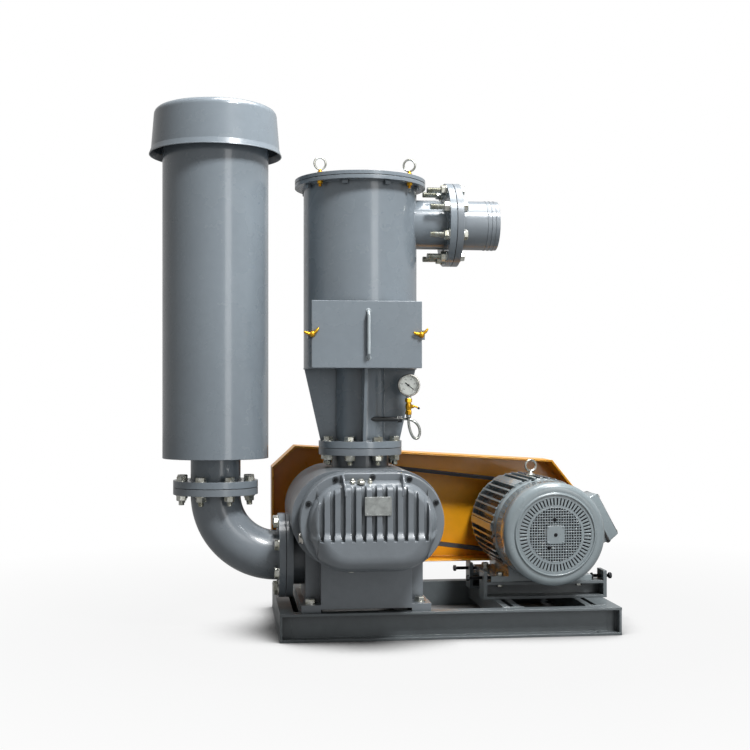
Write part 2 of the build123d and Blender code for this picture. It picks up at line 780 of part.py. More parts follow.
with BuildPart() as silencer_shell:
    with BuildSketch(Plane.XY.offset(silencer_seat)):
        with Locations((silencer_x, port_y)):
            add(flange_profile.sketch)
    extrude(amount=flange_thickness)
    with BuildSketch(Plane.XY.offset(silencer_seat)):
        with Locations((silencer_x, port_y)):
            add(pipe_profile.sketch)
    extrude(amount=silencer_bottom - silencer_seat + end_plate)
    with BuildSketch(Plane.XY.offset(silencer_bottom)):
        with Locations((silencer_x, port_y)):
            Circle(silencer_outer / 2)
            Circle(silencer_outer / 2 - silencer_wall, mode=Mode.SUBTRACT)
    extrude(amount=silencer_length)
    with BuildSketch(Plane.XY.offset(silencer_bottom)):
        with Locations((silencer_x, port_y)):
            Circle(silencer_outer / 2 - silencer_wall)
            Circle(pipe_bore / 2, mode=Mode.SUBTRACT)
    extrude(amount=end_plate)
    with BuildSketch(Plane.XY.offset(silencer_top - end_plate)):
        with Locations((silencer_x, port_y)):
            Circle(silencer_outer / 2 - silencer_wall)
            Circle(silencer_outlet / 2, mode=Mode.SUBTRACT)
    extrude(amount=end_plate)
    # stays welded to the shell carry the rain cap
    for index in range(stay_count):
        around = radians(45 + index * 360 / stay_count)
        outward = (cos(around), sin(around), 0)
        sideways = (sin(around), -cos(around), 0)
        with BuildSketch(Plane((silencer_x, port_y, cap_mouth_z), x_dir=outward, z_dir=sideways)):
            with BuildLine():
                Polyline(
                    (silencer_outer / 2 - 1, stay_low),
                    (stay_reach(stay_low), stay_low),
                    (stay_reach(stay_high), stay_high),
                    (silencer_outer / 2 - 1, stay_high),
                    close=True,
                )
            make_face()
        extrude(amount=stay_thickness / 2, both=True)
finish_piece(silencer_shell, "silencer_shell")

core_holes = 8
core_rows = 6
core_hole = 26.0
with BuildPart() as silencer_core:
    with BuildSketch(Plane.XY.offset(silencer_bottom + end_plate)):
        with Locations((silencer_x, port_y)):
            Circle(silencer_outlet / 2 + silencer_wall)
            Circle(silencer_outlet / 2, mode=Mode.SUBTRACT)
    core_length = silencer_length - 2 * end_plate
    extrude(amount=core_length)
    for row in range(core_rows):
        row_z = silencer_bottom + end_plate + (row + 0.5) * core_length / core_rows
        for index in range(core_holes // 2):
            around = 180 / core_holes + index * 360 / core_holes
            direction = (cos(radians(around)), sin(radians(around)), 0)
            with BuildSketch(Plane((silencer_x, port_y, row_z), z_dir=direction)):
                Circle(core_hole / 2)
            extrude(amount=silencer_outlet, both=True, mode=Mode.SUBTRACT)
finish_piece(silencer_core, "silencer_core")


def cap_profile(inset):
    """Half profile of the rain cap, drawn in by the sheet thickness for its inner face."""
    arc_radius = cap_round - inset
    arc_x = cap_shoulder / 2 - cap_round
    arc_y = cap_wall_height - cap_round
    corner = arc_radius * cos(pi / 4)
    with BuildSketch(front_plane(port_y, silencer_x, cap_mouth_z)) as profile:
        with BuildLine():
            Polyline((0, 0), (cap_mouth / 2 - inset, 0), (cap_foot / 2 - inset, cap_flare))
            Line((cap_foot / 2 - inset, cap_flare), (arc_x + arc_radius, arc_y))
            ThreePointArc(
                (arc_x + arc_radius, arc_y), (arc_x + corner, arc_y + corner), (arc_x, arc_y + arc_radius)
            )
            Line((arc_x, arc_y + arc_radius), (0, arc_y + arc_radius + cap_dome))
            Line((0, arc_y + arc_radius + cap_dome), (0, 0))
        make_face()
    return profile.sketch


cap_axis = Axis((silencer_x, port_y, 0), (0, 0, 1))
with BuildPart() as rain_cap:
    add(cap_profile(0))
    revolve(axis=cap_axis)
    add(cap_profile(cap_sheet))
    revolve(axis=cap_axis, mode=Mode.SUBTRACT)
finish_piece(rain_cap, "rain_cap")

# ---------------------------------------------------------------- inlet filter housing
drum_bottom = suction_z + filter_lift
drum_top = drum_bottom + filter_height
ring_bottom = drum_top - ring_thickness
door_z = drum_bottom + door_height / 2 - 2.0
door_face = port_y - door_reach
with BuildPart() as filter_housing:
    with BuildSketch(Plane.XY.offset(filter_foot)):
        with Locations((pump_x, port_y)):
            add(flange_profile.sketch)
    extrude(amount=flange_thickness)
    with BuildSketch(Plane.XY.offset(filter_foot)):
        with Locations((pump_x, port_y)):
            Circle(pipe_outer / 2)
    extrude(amount=drum_bottom - filter_foot + end_plate)
    with BuildSketch(Plane.XY.offset(drum_bottom)):
        with Locations((pump_x, port_y)):
            Circle(filter_outer / 2)
    extrude(amount=filter_height)
    with BuildSketch(Plane.XY.offset(ring_bottom)):
        with Locations((pump_x, port_y)):
            Circle(filter_ring / 2)
    extrude(amount=ring_thickness)
    with BuildSketch(front_plane(door_face, pump_x, door_z)):
        Rectangle(door_box_width, door_box_height)
    extrude(amount=-door_reach)
    with BuildSketch(side_plane(inlet_face, port_y, inlet_z)):
        Circle(pipe_outer / 2)
    extrude(amount=-inlet_reach)
    # hollow drum, door opening, pipe bore and inlet bore
    with BuildSketch(Plane.XY.offset(drum_bottom + end_plate)):
        with Locations((pump_x, port_y)):
            Circle(filter_outer / 2 - filter_wall)
    extrude(amount=filter_height, mode=Mode.SUBTRACT)
    with BuildSketch(front_plane(door_face, pump_x, door_z)):
        Rectangle(door_box_width - 2 * door_box_wall, door_box_height - 2 * door_box_wall)
    extrude(amount=-door_reach, mode=Mode.SUBTRACT)
    with BuildSketch(Plane.XY.offset(filter_foot)):
        with Locations((pump_x, port_y)):
            Circle(pipe_bore / 2)
    extrude(amount=drum_bottom - filter_foot + end_plate, mode=Mode.SUBTRACT)
    with BuildSketch(side_plane(inlet_face, port_y, inlet_z)):
        Circle(pipe_bore / 2)
    extrude(amount=-inlet_reach, mode=Mode.SUBTRACT)
    with BuildSketch(side_plane(inlet_face, port_y, inlet_z)):
        add(flange_profile.sketch)
    extrude(amount=-flange_thickness)
    # tapered gussets between the foot flange and the floor of the drum
    gusset_low = filter_foot + flange_thickness
    for quarter in range(4):
        around = radians(90 * quarter)
        outward = (cos(around), sin(around), 0)
        sideways = (sin(around), -cos(around), 0)
        with BuildSketch(Plane((pump_x, port_y, 0), x_dir=outward, z_dir=sideways)):
            with BuildLine():
                Polyline(
                    (pipe_outer / 2 - 1, gusset_low),
                    (gusset_foot, gusset_low),
                    (filter_outer / 2 - 2, drum_bottom),
                    (pipe_outer / 2 - 1, drum_bottom),
                    close=True,
                )
            make_face()
        extrude(amount=gusset_thickness / 2, both=True)
    # tapped lugs for the wing bolts, one each side of the door frame
    lug_width = 22.0
    lug_height = 30.0
    lug_depth = 14.0
    wing_x = door_width / 2 - 2.0
    with BuildSketch(front_plane(door_face + door_plate, pump_x, door_z)):
        for side in (-1, 1):
            with Locations((side * (door_box_width / 2 + lug_width / 2), 0)):
                Rectangle(lug_width, lug_height)
    extrude(amount=-lug_depth)
    with BuildSketch(front_plane(door_face, pump_x, door_z)):
        with Locations((-wing_x, 0), (wing_x, 0)):
            Circle(wing_bolt_size / 2 + 0.4)
    extrude(amount=-(lug_depth + 2 * door_plate), mode=Mode.SUBTRACT)
    # eyebolt holes in the top ring
    with BuildSketch(Plane.XY.offset(ring_bottom)):
        with Locations((pump_x, port_y)):
            with PolarLocations(eyebolt_circle / 2, 4, start_angle=45):
                Circle(eyebolt_shank / 2)
    extrude(amount=ring_thickness, mode=Mode.SUBTRACT)
finish_piece(filter_housing, "filter_housing")

with BuildPart() as filter_seals:
    with BuildSketch(Plane.XY.offset(drum_top)):
        with Locations((pump_x, port_y)):
            Circle(eyebolt_circle / 2 - eyebolt_shank)
            Circle(filter_outer / 2 - filter_wall, mode=Mode.SUBTRACT)
    extrude(amount=gasket_thickness)
    with BuildSketch(front_plane(door_face, pump_x, door_z)):
        Rectangle(door_box_width, door_box_height)
        Rectangle(door_box_width - 2 * door_box_wall, door_box_height - 2 * door_box_wall, mode=Mode.SUBTRACT)
    extrude(amount=door_seal)
finish_piece(filter_seals, "filter_seals")

lid_z = drum_top + gasket_thickness
lid_crown = 330.0
lid_step = 4.0
with BuildPart() as filter_lid:
    with BuildSketch(Plane.XY.offset(lid_z)):
        with Locations((pump_x, port_y)):
            Circle(filter_ring / 2)
            with PolarLocations(eyebolt_circle / 2, 4, start_angle=45):
                Circle(eyebolt_shank / 2, mode=Mode.SUBTRACT)
    extrude(amount=lid_thickness)
    with BuildSketch(Plane.XY.offset(lid_z + lid_thickness)):
        with Locations((pump_x, port_y)):
            Circle(lid_crown / 2)
    extrude(amount=lid_step, taper=30)
finish_piece(filter_lid, "filter_lid")

lid_face = lid_z + lid_thickness
collar_height = 9.0
collar_radius = 9.0
with BuildPart() as lid_eyebolts:
    for index in range(4):
        around = radians(45 + 90 * index)
        eye_x = pump_x + eyebolt_circle / 2 * cos(around)
        eye_y = port_y + eyebolt_circle / 2 * sin(around)
        ring_centre = lid_face + collar_height + eyebolt_ring / 2 - 2
        with BuildSketch(Plane.XY.offset(lid_face)):
            with Locations((eye_x, eye_y)):
                Circle(collar_radius)
        extrude(amount=collar_height)
        with BuildSketch(Plane.XY.offset(lid_face)):
            with Locations((eye_x, eye_y)):
                Circle(eyebolt_shank / 2)
        extrude(amount=-(lid_face - ring_bottom + 16))
        with BuildSketch(Plane.XY.offset(ring_bottom)):
            with Locations((eye_x, eye_y)):
                RegularPolygon(9.5, 6, major_radius=False)
        extrude(amount=-10)
        with BuildSketch(Plane((eye_x, eye_y, ring_centre))):
            with Locations(((eyebolt_ring - eyebolt_wire) / 2, 0)):
                Circle(eyebolt_wire / 2)
        revolve(axis=Axis((eye_x, eye_y, ring_centre), (0, 1, 0)))
finish_piece(lid_eyebolts, "lid_eyebolts")

with BuildPart() as filter_element:
    pleats = 30
    pleat_depth = 16.0
    pleat_points = []
    for index in range(2 * pleats):
        around = pi * index / pleats
        radius = element_outer / 2 - pleat_depth * (index % 2)
        pleat_points.append((radius * cos(around), radius * sin(around)))
    with BuildSketch(Plane((pump_x, port_y, drum_bottom + end_plate))):
        with BuildLine():
            Polyline(*pleat_points, close=True)
        make_face()
        Circle(element_inner / 2, mode=Mode.SUBTRACT)
    extrude(amount=element_height)
    with BuildSketch(Plane.XY.offset(drum_bottom + end_plate + element_height)):
        with Locations((pump_x, port_y)):
            Circle(element_outer / 2)
    extrude(amount=end_plate)
finish_piece(filter_element, "filter_element")

# ---------------------------------------------------------------- access door
door_back = door_face - door_seal
door_gap = 0.3
door_skin = door_back - door_gap
with BuildPart() as access_door:
    with BuildSketch(front_plane(door_skin, pump_x, door_z)):
        RectangleRounded(door_width, door_height, 4)
        with Locations((-wing_x, 0), (wing_x, 0)):
            Circle(wing_bolt_size / 2 + 0.4, mode=Mode.SUBTRACT)
    extrude(amount=door_plate)
finish_piece(access_door, "access_door")

door_front = door_skin - door_plate
with BuildPart() as door_handle:
    with BuildLine():
        FilletPolyline(
            (pump_x + 4, door_front, door_z - handle_length / 2),
            (pump_x + 4, door_front - handle_rise, door_z - handle_length / 2),
            (pump_x + 4, door_front - handle_rise, door_z + handle_length / 2),
            (pump_x + 4, door_front, door_z + handle_length / 2),
            radius=handle_wire * 1.3,
        )
    with BuildSketch(front_plane(door_front, pump_x + 4, door_z - handle_length / 2)):
        Circle(handle_wire / 2)
    sweep()
finish_piece(door_handle, "door_handle")


def make_wing_bolt(x, tilt):
    """Captive wing bolt: threaded shank, round hub and two tapered wings."""
    with BuildPart() as bolt:
        with BuildSketch(front_plane(door_front - door_gap, x, door_z)):
            Circle(wing_bolt_size)
        extrude(amount=9)
        with BuildSketch(front_plane(door_front - door_gap, x, door_z)):
            Circle(wing_bolt_size / 2)
        extrude(amount=-(door_seal + 3 * door_plate))
        with BuildSketch(front_plane(door_front - door_gap - 2, x, door_z)):
            with BuildLine():
                Polyline((-wing_span / 2, 9), (-wing_bolt_size + 1, -5), (wing_bolt_size - 1, -5))
                Line((wing_bolt_size - 1, -5), (wing_span / 2, 9))
                Line((wing_span / 2, 9), (wing_span / 2 - 7, 12))
                ThreePointArc((wing_span / 2 - 7, 12), (0, 5), (-wing_span / 2 + 7, 12))
                Line((-wing_span / 2 + 7, 12), (-wing_span / 2, 9))
            make_face()
        extrude(amount=5)
    turned = bolt.part.rotate(Axis((x, 0, door_z), (0, 1, 0)), tilt)
    bolt.part = turned
    return bolt


finish_piece(make_wing_bolt(pump_x - wing_x, 15), "wing_bolt_left")
finish_piece(make_wing_bolt(pump_x + wing_x, -15), "wing_bolt_right")

# ---------------------------------------------------------------- inlet spigot
hose_ridge = 1.2
with BuildPart() as inlet_spigot:
    with BuildSketch(side_plane(inlet_face + gasket_thickness, port_y, inlet_z)):
        add(flange_profile.sketch)
    extrude(amount=flange_thickness)
    with BuildSketch(side_plane(inlet_face + gasket_thickness, port_y, inlet_z)):
        add(pipe_profile.sketch)
    extrude(amount=spigot_length)
    for step in (10, 24, 38):
        ridge_x = inlet_face + gasket_thickness + spigot_length - step
        with BuildSketch(side_plane(ridge_x, port_y, inlet_z)):
            Circle(pipe_outer / 2 + hose_ridge)
            Circle(pipe_outer / 2 - 1, mode=Mode.SUBTRACT)
        extrude(amount=-4)
finish_piece(inlet_spigot, "inlet_spigot")

# ---------------------------------------------------------------- vacuum gauge
tap_y = port_y + gauge_y + 14
loop_y = port_y + gauge_y
loop_left = pump_x + gauge_x
tap_end = loop_left - tap_setback
with BuildPart() as gauge_tap:
    with BuildSketch(side_plane(pump_x, tap_y, siphon_z)):
        Circle(8)
    extrude(amount=tap_end - pump_x)
    with BuildSketch(side_plane(tap_end, tap_y, siphon_z)):
        RegularPolygon(11, 6, major_radius=False)
    extrude(amount=14)
    with BuildSketch(Plane.XY.offset(siphon_z - 20)):
        with Locations((pump_x, port_y)):
            Circle(pipe_outer / 2)
    extrude(amount=40, mode=Mode.SUBTRACT)
finish_piece(gauge_tap, "gauge_tap")

loop_width = 38.0
loop_drop = 64.0
# places along the pigtail: shares of its width, of its step forward and of its drop
loop_shares = (
    (0.30, 0.05, 0.03),
    (0.75, 0.15, 0.18),
    (1.00, 0.35, 0.48),
    (0.90, 0.60, 0.85),
    (0.58, 0.75, 1.00),
    (0.22, 0.90, 0.80),
    (0.04, 1.00, 0.38),
)
loop_path = [(tap_end + 14, tap_y, siphon_z)]
for across, forward, down in loop_shares:
    loop_path.append(
        (loop_left + across * loop_width, tap_y + forward * (loop_y - tap_y), siphon_z - down * loop_drop)
    )
loop_path.append((loop_left, loop_y, cock_bottom))
with BuildPart() as siphon_loop:
    with BuildLine():
        Spline(*loop_path, tangents=[(1, 0, 0), (0, 0, 1)])
    with BuildSketch(side_plane(tap_end + 14, tap_y, siphon_z)):
        Circle(siphon_tube / 2)
    sweep()
finish_piece(siphon_loop, "siphon_loop")

lever_z = (cock_bottom + cock_top) / 2
with BuildPart() as gauge_cock:
    with BuildSketch(Plane.XY.offset(cock_bottom)):
        with Locations((loop_left, loop_y)):
            RegularPolygon(10, 6, major_radius=False)
    extrude(amount=16)
    with BuildSketch(Plane.XY.offset(cock_bottom)):
        with Locations((loop_left, loop_y)):
            Circle(8.5)
    extrude(amount=cock_top - cock_bottom)
    with BuildSketch(Plane.XY.offset(cock_top - 14)):
        with Locations((loop_left, loop_y)):
            RegularPolygon(11, 6, major_radius=False)
    extrude(amount=14)
    with BuildSketch(side_plane(loop_left - 13, loop_y, lever_z)):
        Circle(10)
    extrude(amount=26)
finish_piece(gauge_cock, "gauge_cock")

lever_reach = 30.0
lever_start = loop_left + 13 + 0.3
with BuildPart() as cock_lever:
    with BuildSketch(side_plane(lever_start, loop_y, lever_z)):
        Circle(6)
    extrude(amount=6)
    with BuildSketch(side_plane(lever_start + 6, loop_y, lever_z)):
        SlotCenterPoint((0, -lever_reach / 2 + 4), (0, 4), 9)
    extrude(amount=4)
finish_piece(cock_lever, "cock_lever")

gauge_back = loop_y + gauge_depth / 2
gauge_face = loop_y - gauge_depth / 2
gauge_bottom = gauge_z - gauge_outer / 2
with BuildPart() as gauge_case:
    with BuildSketch(front_plane(gauge_back, loop_left, gauge_z)):
        Circle(gauge_outer / 2)
    extrude(amount=gauge_depth)
    fillet(gauge_case.faces().sort_by(Axis.Y)[0].edges(), radius=3)
    with BuildSketch(front_plane(gauge_face, loop_left, gauge_z)):
        Circle(gauge_outer / 2 - 4)
    extrude(amount=-(gauge_depth - 6), mode=Mode.SUBTRACT)
    with BuildSketch(Plane.XY.offset(gauge_bottom + 3)):
        with Locations((loop_left, loop_y)):
            RegularPolygon(7, 6, major_radius=False)
    extrude(amount=-(gauge_bottom + 3 - cock_top))
finish_piece(gauge_case, "gauge_case")

dial_face = gauge_back - 6 - 2
with BuildPart() as gauge_dial:
    with BuildSketch(front_plane(gauge_back - 6, loop_left, gauge_z)):
        Circle(gauge_outer / 2 - 4)
    extrude(amount=2)
    with BuildSketch(front_plane(dial_face, loop_left, gauge_z)):
        Circle(1.5)
    extrude(amount=8)
finish_piece(gauge_dial, "gauge_dial")

with BuildPart() as gauge_needle:
    with BuildSketch(front_plane(dial_face - 3, loop_left, gauge_z)):
        Circle(4)
        with BuildLine(Plane.XY.rotated((0, 0, -needle_rest))):
            Polyline((-1.6, 0), (0, gauge_outer / 2 - 9), (1.6, 0), (2, -12), (-2, -12), close=True)
        make_face()
        Circle(1.8, mode=Mode.SUBTRACT)
    extrude(amount=1.5)
finish_piece(gauge_needle, "gauge_needle")

with BuildPart() as gauge_glass:
    with BuildSketch(front_plane(gauge_face + 4, loop_left, gauge_z)):
        Circle(gauge_outer / 2 - 4)
    extrude(amount=2.5)
finish_piece(gauge_glass, "gauge_glass")

# ---------------------------------------------------------------- motor
fin_grip = 6.0
motor_bearing_outer = 110.0
motor_bearing_width = 27.0
motor_journal = 50.0
shield_hub = 72.0
foot_top = base_top + rail_height + motor_foot_thickness
foot_length = motor_foot_rear - motor_foot_front + 64.0
foot_middle = (motor_foot_rear + motor_foot_front) / 2
frame_inner = motor_frame_core - 16.0
with BuildPart() as motor_frame:
    with BuildSketch(front_plane(motor_frame_front, motor_x, motor_z)):
        Circle(motor_frame_core)
    extrude(amount=-motor_frame_length)
    fin_height = motor_fin_radius - motor_frame_core + fin_grip
    with BuildSketch(front_plane(motor_frame_front + cowl_overlap + 2, motor_x, motor_z)):
        with PolarLocations((motor_fin_radius + motor_frame_core - fin_grip) / 2, motor_fin_count):
            Rectangle(fin_height, motor_fin_width)
    extrude(amount=-(motor_frame_length - cowl_overlap - 22))
    with BuildSketch(front_plane(foot_middle - foot_length / 2, motor_x, motor_z)):
        with Locations((0, -motor_height + motor_foot_thickness + 26)):
            Rectangle(2 * (motor_foot_spread - 24), 90)
    extrude(amount=-foot_length)
    with BuildSketch(Plane.XY.offset(base_top + rail_height)):
        for side in (-1, 1):
            with Locations((motor_x + side * motor_foot_spread, foot_middle)):
                Rectangle(motor_foot_width, foot_length)
    extrude(amount=motor_foot_thickness)
    with BuildSketch(Plane.XY.offset(base_top + rail_height)):
        for side in (-1, 1):
            for y in (motor_foot_front, motor_foot_rear):
                with Locations((motor_x + side * motor_foot_spread, y)):
                    Circle(7.5)
    extrude(amount=motor_foot_thickness, mode=Mode.SUBTRACT)
    with BuildSketch(front_plane(motor_frame_front, motor_x, motor_z)):
        Circle(frame_inner)
    extrude(amount=-motor_frame_length, mode=Mode.SUBTRACT)
finish_piece(motor_frame, "motor_frame")

with BuildPart() as motor_shields:
    for face, direction in ((motor_frame_front, 1), (motor_frame_rear, -1)):
        with BuildSketch(front_plane(face, motor_x, motor_z)):
            Circle(motor_frame_core)
        extrude(amount=direction * motor_shield)
        with BuildSketch(front_plane(face, motor_x, motor_z)):
            Circle(shield_hub)
        extrude(amount=direction * (motor_hub_reach - 4))
        with BuildSketch(front_plane(face, motor_x, motor_z)):
            Circle(motor_bearing_outer / 2)
        extrude(amount=direction * motor_bearing_width, mode=Mode.SUBTRACT)
        with BuildSketch(front_plane(face, motor_x, motor_z)):
            Circle(motor_journal / 2 + 1)
        extrude(amount=direction * 60, mode=Mode.SUBTRACT)
finish_piece(motor_shields, "motor_shields")

with BuildPart() as motor_bearings:
    for face, direction in ((motor_frame_front, 1), (motor_frame_rear, -1)):
        with BuildSketch(front_plane(face, motor_x, motor_z)):
            Circle(motor_bearing_outer / 2)
            Circle(motor_journal / 2, mode=Mode.SUBTRACT)
        extrude(amount=direction * motor_bearing_width)
finish_piece(motor_bearings, "motor_bearings")

stator_length = 210.0
stator_bore = 90.0
air_gap = 0.6
stator_front = (motor_frame_front + motor_frame_rear - stator_length) / 2
with BuildPart() as motor_stator:
    with BuildSketch(front_plane(stator_front, motor_x, motor_z)):
        Circle(frame_inner)
        Circle(stator_bore, mode=Mode.SUBTRACT)
    extrude(amount=-stator_length)
finish_piece(motor_stator, "motor_stator")

fan_seat = 34.0
fan_seat_front = motor_frame_front - 76.0
with BuildPart() as motor_rotor:
    with BuildSketch(front_plane(stator_front, motor_x, motor_z)):
        Circle(stator_bore - air_gap)
    extrude(amount=-stator_length)
    shaft_front = motor_frame_front - motor_bearing_width - 8
    with BuildSketch(front_plane(shaft_front, motor_x, motor_z)):
        Circle(motor_journal / 2 - bearing_fit)
    extrude(amount=-(motor_shoulder - shaft_front))
    with BuildSketch(front_plane(fan_seat_front, motor_x, motor_z)):
        Circle(fan_seat / 2)
    extrude(amount=-(shaft_front - fan_seat_front))
    with BuildSketch(front_plane(motor_shoulder, motor_x, motor_z)):
        Circle(motor_shaft / 2)
    extrude(amount=-motor_shaft_length)
finish_piece(motor_rotor, "motor_rotor")

fan_blades = 9
fan_radius = 142.0
fan_depth = 46.0
with BuildPart() as cooling_fan:
    with BuildSketch(front_plane(fan_seat_front, motor_x, motor_z)):
        Circle(30)
    extrude(amount=-30)
    with BuildSketch(front_plane(fan_seat_front + 26, motor_x, motor_z)):
        Circle(fan_radius)
    extrude(amount=-4)
    with BuildSketch(front_plane(fan_seat_front + 27, motor_x, motor_z)):
        with PolarLocations((fan_radius + 24) / 2, fan_blades):
            Rectangle(fan_radius - 24, 4)
    extrude(amount=fan_depth)
    with BuildSketch(front_plane(fan_seat_front - fan_depth, motor_x, motor_z)):
        Circle(fan_seat / 2)
    extrude(amount=-(fan_depth + 40), mode=Mode.SUBTRACT)
finish_piece(cooling_fan, "cooling_fan")

cowl_front = motor_frame_front + cowl_overlap - cowl_length - cowl_overlap
grille_slots = 40
with BuildPart() as fan_cowl:
    with BuildSketch(front_plane(cowl_front, motor_x, motor_z)):
        Circle(cowl_radius)
    extrude(amount=-(cowl_length + cowl_overlap))
    fillet(fan_cowl.faces().sort_by(Axis.Y)[0].edges(), radius=16)
    with BuildSketch(front_plane(cowl_front, motor_x, motor_z)):
        Circle(grille_radius)
    extrude(amount=5)
    with BuildSketch(front_plane(cowl_front + cowl_sheet + 8, motor_x, motor_z)):
        Circle(cowl_radius - cowl_sheet)
    extrude(amount=-(cowl_length + cowl_overlap - 8), mode=Mode.SUBTRACT)
    with BuildSketch(front_plane(cowl_front - 5 + cowl_sheet, motor_x, motor_z)):
        Circle(grille_radius - cowl_sheet)
    extrude(amount=-30, mode=Mode.SUBTRACT)
    with BuildSketch(front_plane(cowl_front - 5, motor_x, motor_z)):
        with PolarLocations(grille_radius * 0.58, grille_slots // 2):
            SlotOverall(grille_radius * 0.36, 6)
        with PolarLocations(grille_radius * 0.85, grille_slots, start_angle=180 / grille_slots):
            SlotOverall(grille_radius * 0.14, 6)
    extrude(amount=-cowl_sheet, mode=Mode.SUBTRACT)
finish_piece(fan_cowl, "fan_cowl")

box_tilt = 28.0
box_span = 176.0
box_depth = 150.0
box_reach = 190.0
box_offset = 70.0
box_lid = 42.0
box_y = motor_frame_front + 100.0
tilt = radians(box_tilt)
box_normal = (cos(tilt), 0, sin(tilt))
box_along = (sin(tilt), 0, -cos(tilt))
box_origin = (
    motor_x + box_reach * cos(tilt) + box_offset * sin(tilt),
    box_y,
    motor_z + box_reach * sin(tilt) - box_offset * cos(tilt),
)
box_plane = Plane(box_origin, x_dir=box_along, z_dir=box_normal)
with BuildPart() as terminal_box:
    with BuildSketch(box_plane):
        RectangleRounded(box_span - 10, box_depth - 10, 8)
    extrude(amount=-(box_reach - motor_frame_core * 0.7))
    with BuildSketch(front_plane(motor_frame_front, motor_x, motor_z)):
        Circle(motor_frame_core)
    extrude(amount=-motor_frame_length, mode=Mode.SUBTRACT)
    add(motor_frame.part, mode=Mode.SUBTRACT)
finish_piece(terminal_box, "terminal_box")

with BuildPart() as terminal_gasket:
    with BuildSketch(box_plane):
        RectangleRounded(box_span + 4, box_depth + 4, 8)
    extrude(amount=3)
finish_piece(terminal_gasket, "terminal_gasket")

with BuildPart() as terminal_lid:
    with BuildSketch(box_plane.offset(3)):
        RectangleRounded(box_span, box_depth, 8)
    extrude(amount=box_lid, taper=8)
    fillet(terminal_lid.faces().sort_by(Axis.X)[-1].edges(), radius=6)
finish_piece(terminal_lid, "terminal_lid")

motor_eye_y = motor_frame_front + 170.0
motor_eye_ring = 52.0
motor_eye_wire = 10.0
with BuildPart() as motor_eyebolt:
    eye_seat = motor_z + motor_frame_core - 2
    eye_centre = motor_z + motor_fin_radius + 8 + motor_eye_ring / 2
    with BuildSketch(Plane.XY.offset(eye_seat)):
        with Locations((motor_x, motor_eye_y)):
            Circle(9)
    extrude(amount=motor_z + motor_fin_radius + 12 - eye_seat)
    with BuildSketch(Plane((motor_x, motor_eye_y, eye_centre))):
        with Locations(((motor_eye_ring - motor_eye_wire) / 2, 0)):
            Circle(motor_eye_wire / 2)
    revolve(axis=Axis((motor_x, motor_eye_y, eye_centre), (0, 1, 0)))
    add(motor_frame.part, mode=Mode.SUBTRACT)
finish_piece(motor_eyebolt, "motor_eyebolt")

# ---------------------------------------------------------------- slide rails
adjuster_z = base_top + rail_height + adjuster_lift
rail_ys = (motor_foot_front, motor_foot_rear)
with BuildPart() as slide_rails:
    for y in rail_ys:
        with BuildSketch(side_plane(rail_x - rail_length / 2, y, base_top)):
            with Locations((0, rail_height / 2)):
                Rectangle(rail_width, rail_height)
            with Locations((-rail_wall, rail_height / 2)):
                Rectangle(rail_width, rail_height - 2 * rail_wall, mode=Mode.SUBTRACT)
        extrude(amount=rail_length)
        with BuildSketch(Plane.XY.offset(base_top + rail_height)):
            with Locations((rail_x, y)):
                SlotOverall(rail_length - 6 * rail_lug, rail_slot)
        extrude(amount=-rail_wall, mode=Mode.SUBTRACT)
        for side in (-1, 1):
            with BuildSketch(side_plane(rail_x + side * (rail_length - rail_lug) / 2, y, base_top)):
                with Locations((0, (rail_height + rail_lug_rise) / 2)):
                    Rectangle(rail_width, rail_height + rail_lug_rise)
            extrude(amount=rail_lug / 2, both=True)
    for y in rail_ys:
        with BuildSketch(side_plane(rail_x, y, adjuster_z)):
            Circle(adjuster_size / 2 + 0.4)
        extrude(amount=rail_length, both=True, mode=Mode.SUBTRACT)
finish_piece(slide_rails, "slide_rails")

adjuster_length = 72.0
with BuildPart() as adjusting_screws:
    foot_edge = motor_foot_spread + motor_foot_width / 2
    for y in rail_ys:
        for side in (-1, 1):
            tip = motor_x + side * foot_edge
            with BuildSketch(side_plane(tip, y, adjuster_z)):
                Circle(adjuster_size / 2)
            extrude(amount=side * adjuster_length)
            with BuildSketch(side_plane(tip + side * adjuster_length, y, adjuster_z)):
                RegularPolygon(adjuster_flats / 2, 6, major_radius=False)
            extrude(amount=side * 9)
            with BuildSketch(side_plane(tip + side * 6, y, adjuster_z)):
                RegularPolygon(adjuster_flats / 2, 6, major_radius=False)
            extrude(amount=side * 8)
finish_piece(adjusting_screws, "adjusting_screws")

foot_bolt = 14.0
with BuildPart() as motor_foot_bolts:
    motor_bolt_spots = [
        (motor_x + side * motor_foot_spread, y) for side in (-1, 1) for y in rail_ys
    ]
    with BuildSketch(Plane.XY.offset(foot_top)):
        with Locations(*motor_bolt_spots):
            RegularPolygon(11, 6, major_radius=False)
    extrude(amount=10)
    with BuildSketch(Plane.XY.offset(foot_top)):
        with Locations(*motor_bolt_spots):
            Circle(foot_bolt / 2)
    extrude(amount=-(motor_foot_thickness + rail_wall + 16))
    with BuildSketch(Plane.XY.offset(base_top + rail_height - rail_wall - 0.4)):
        with Locations(*motor_bolt_spots):
            RegularPolygon(11, 6, major_radius=False)
    extrude(amount=-12)
finish_piece(motor_foot_bolts, "motor_foot_bolts")

# ---------------------------------------------------------------- belt drive
groove_depth = belt_depth + 4.0
belt_gap = 0.4
pulley_width = (belt_count - 1) * belt_pitch + 2 * pulley_edge


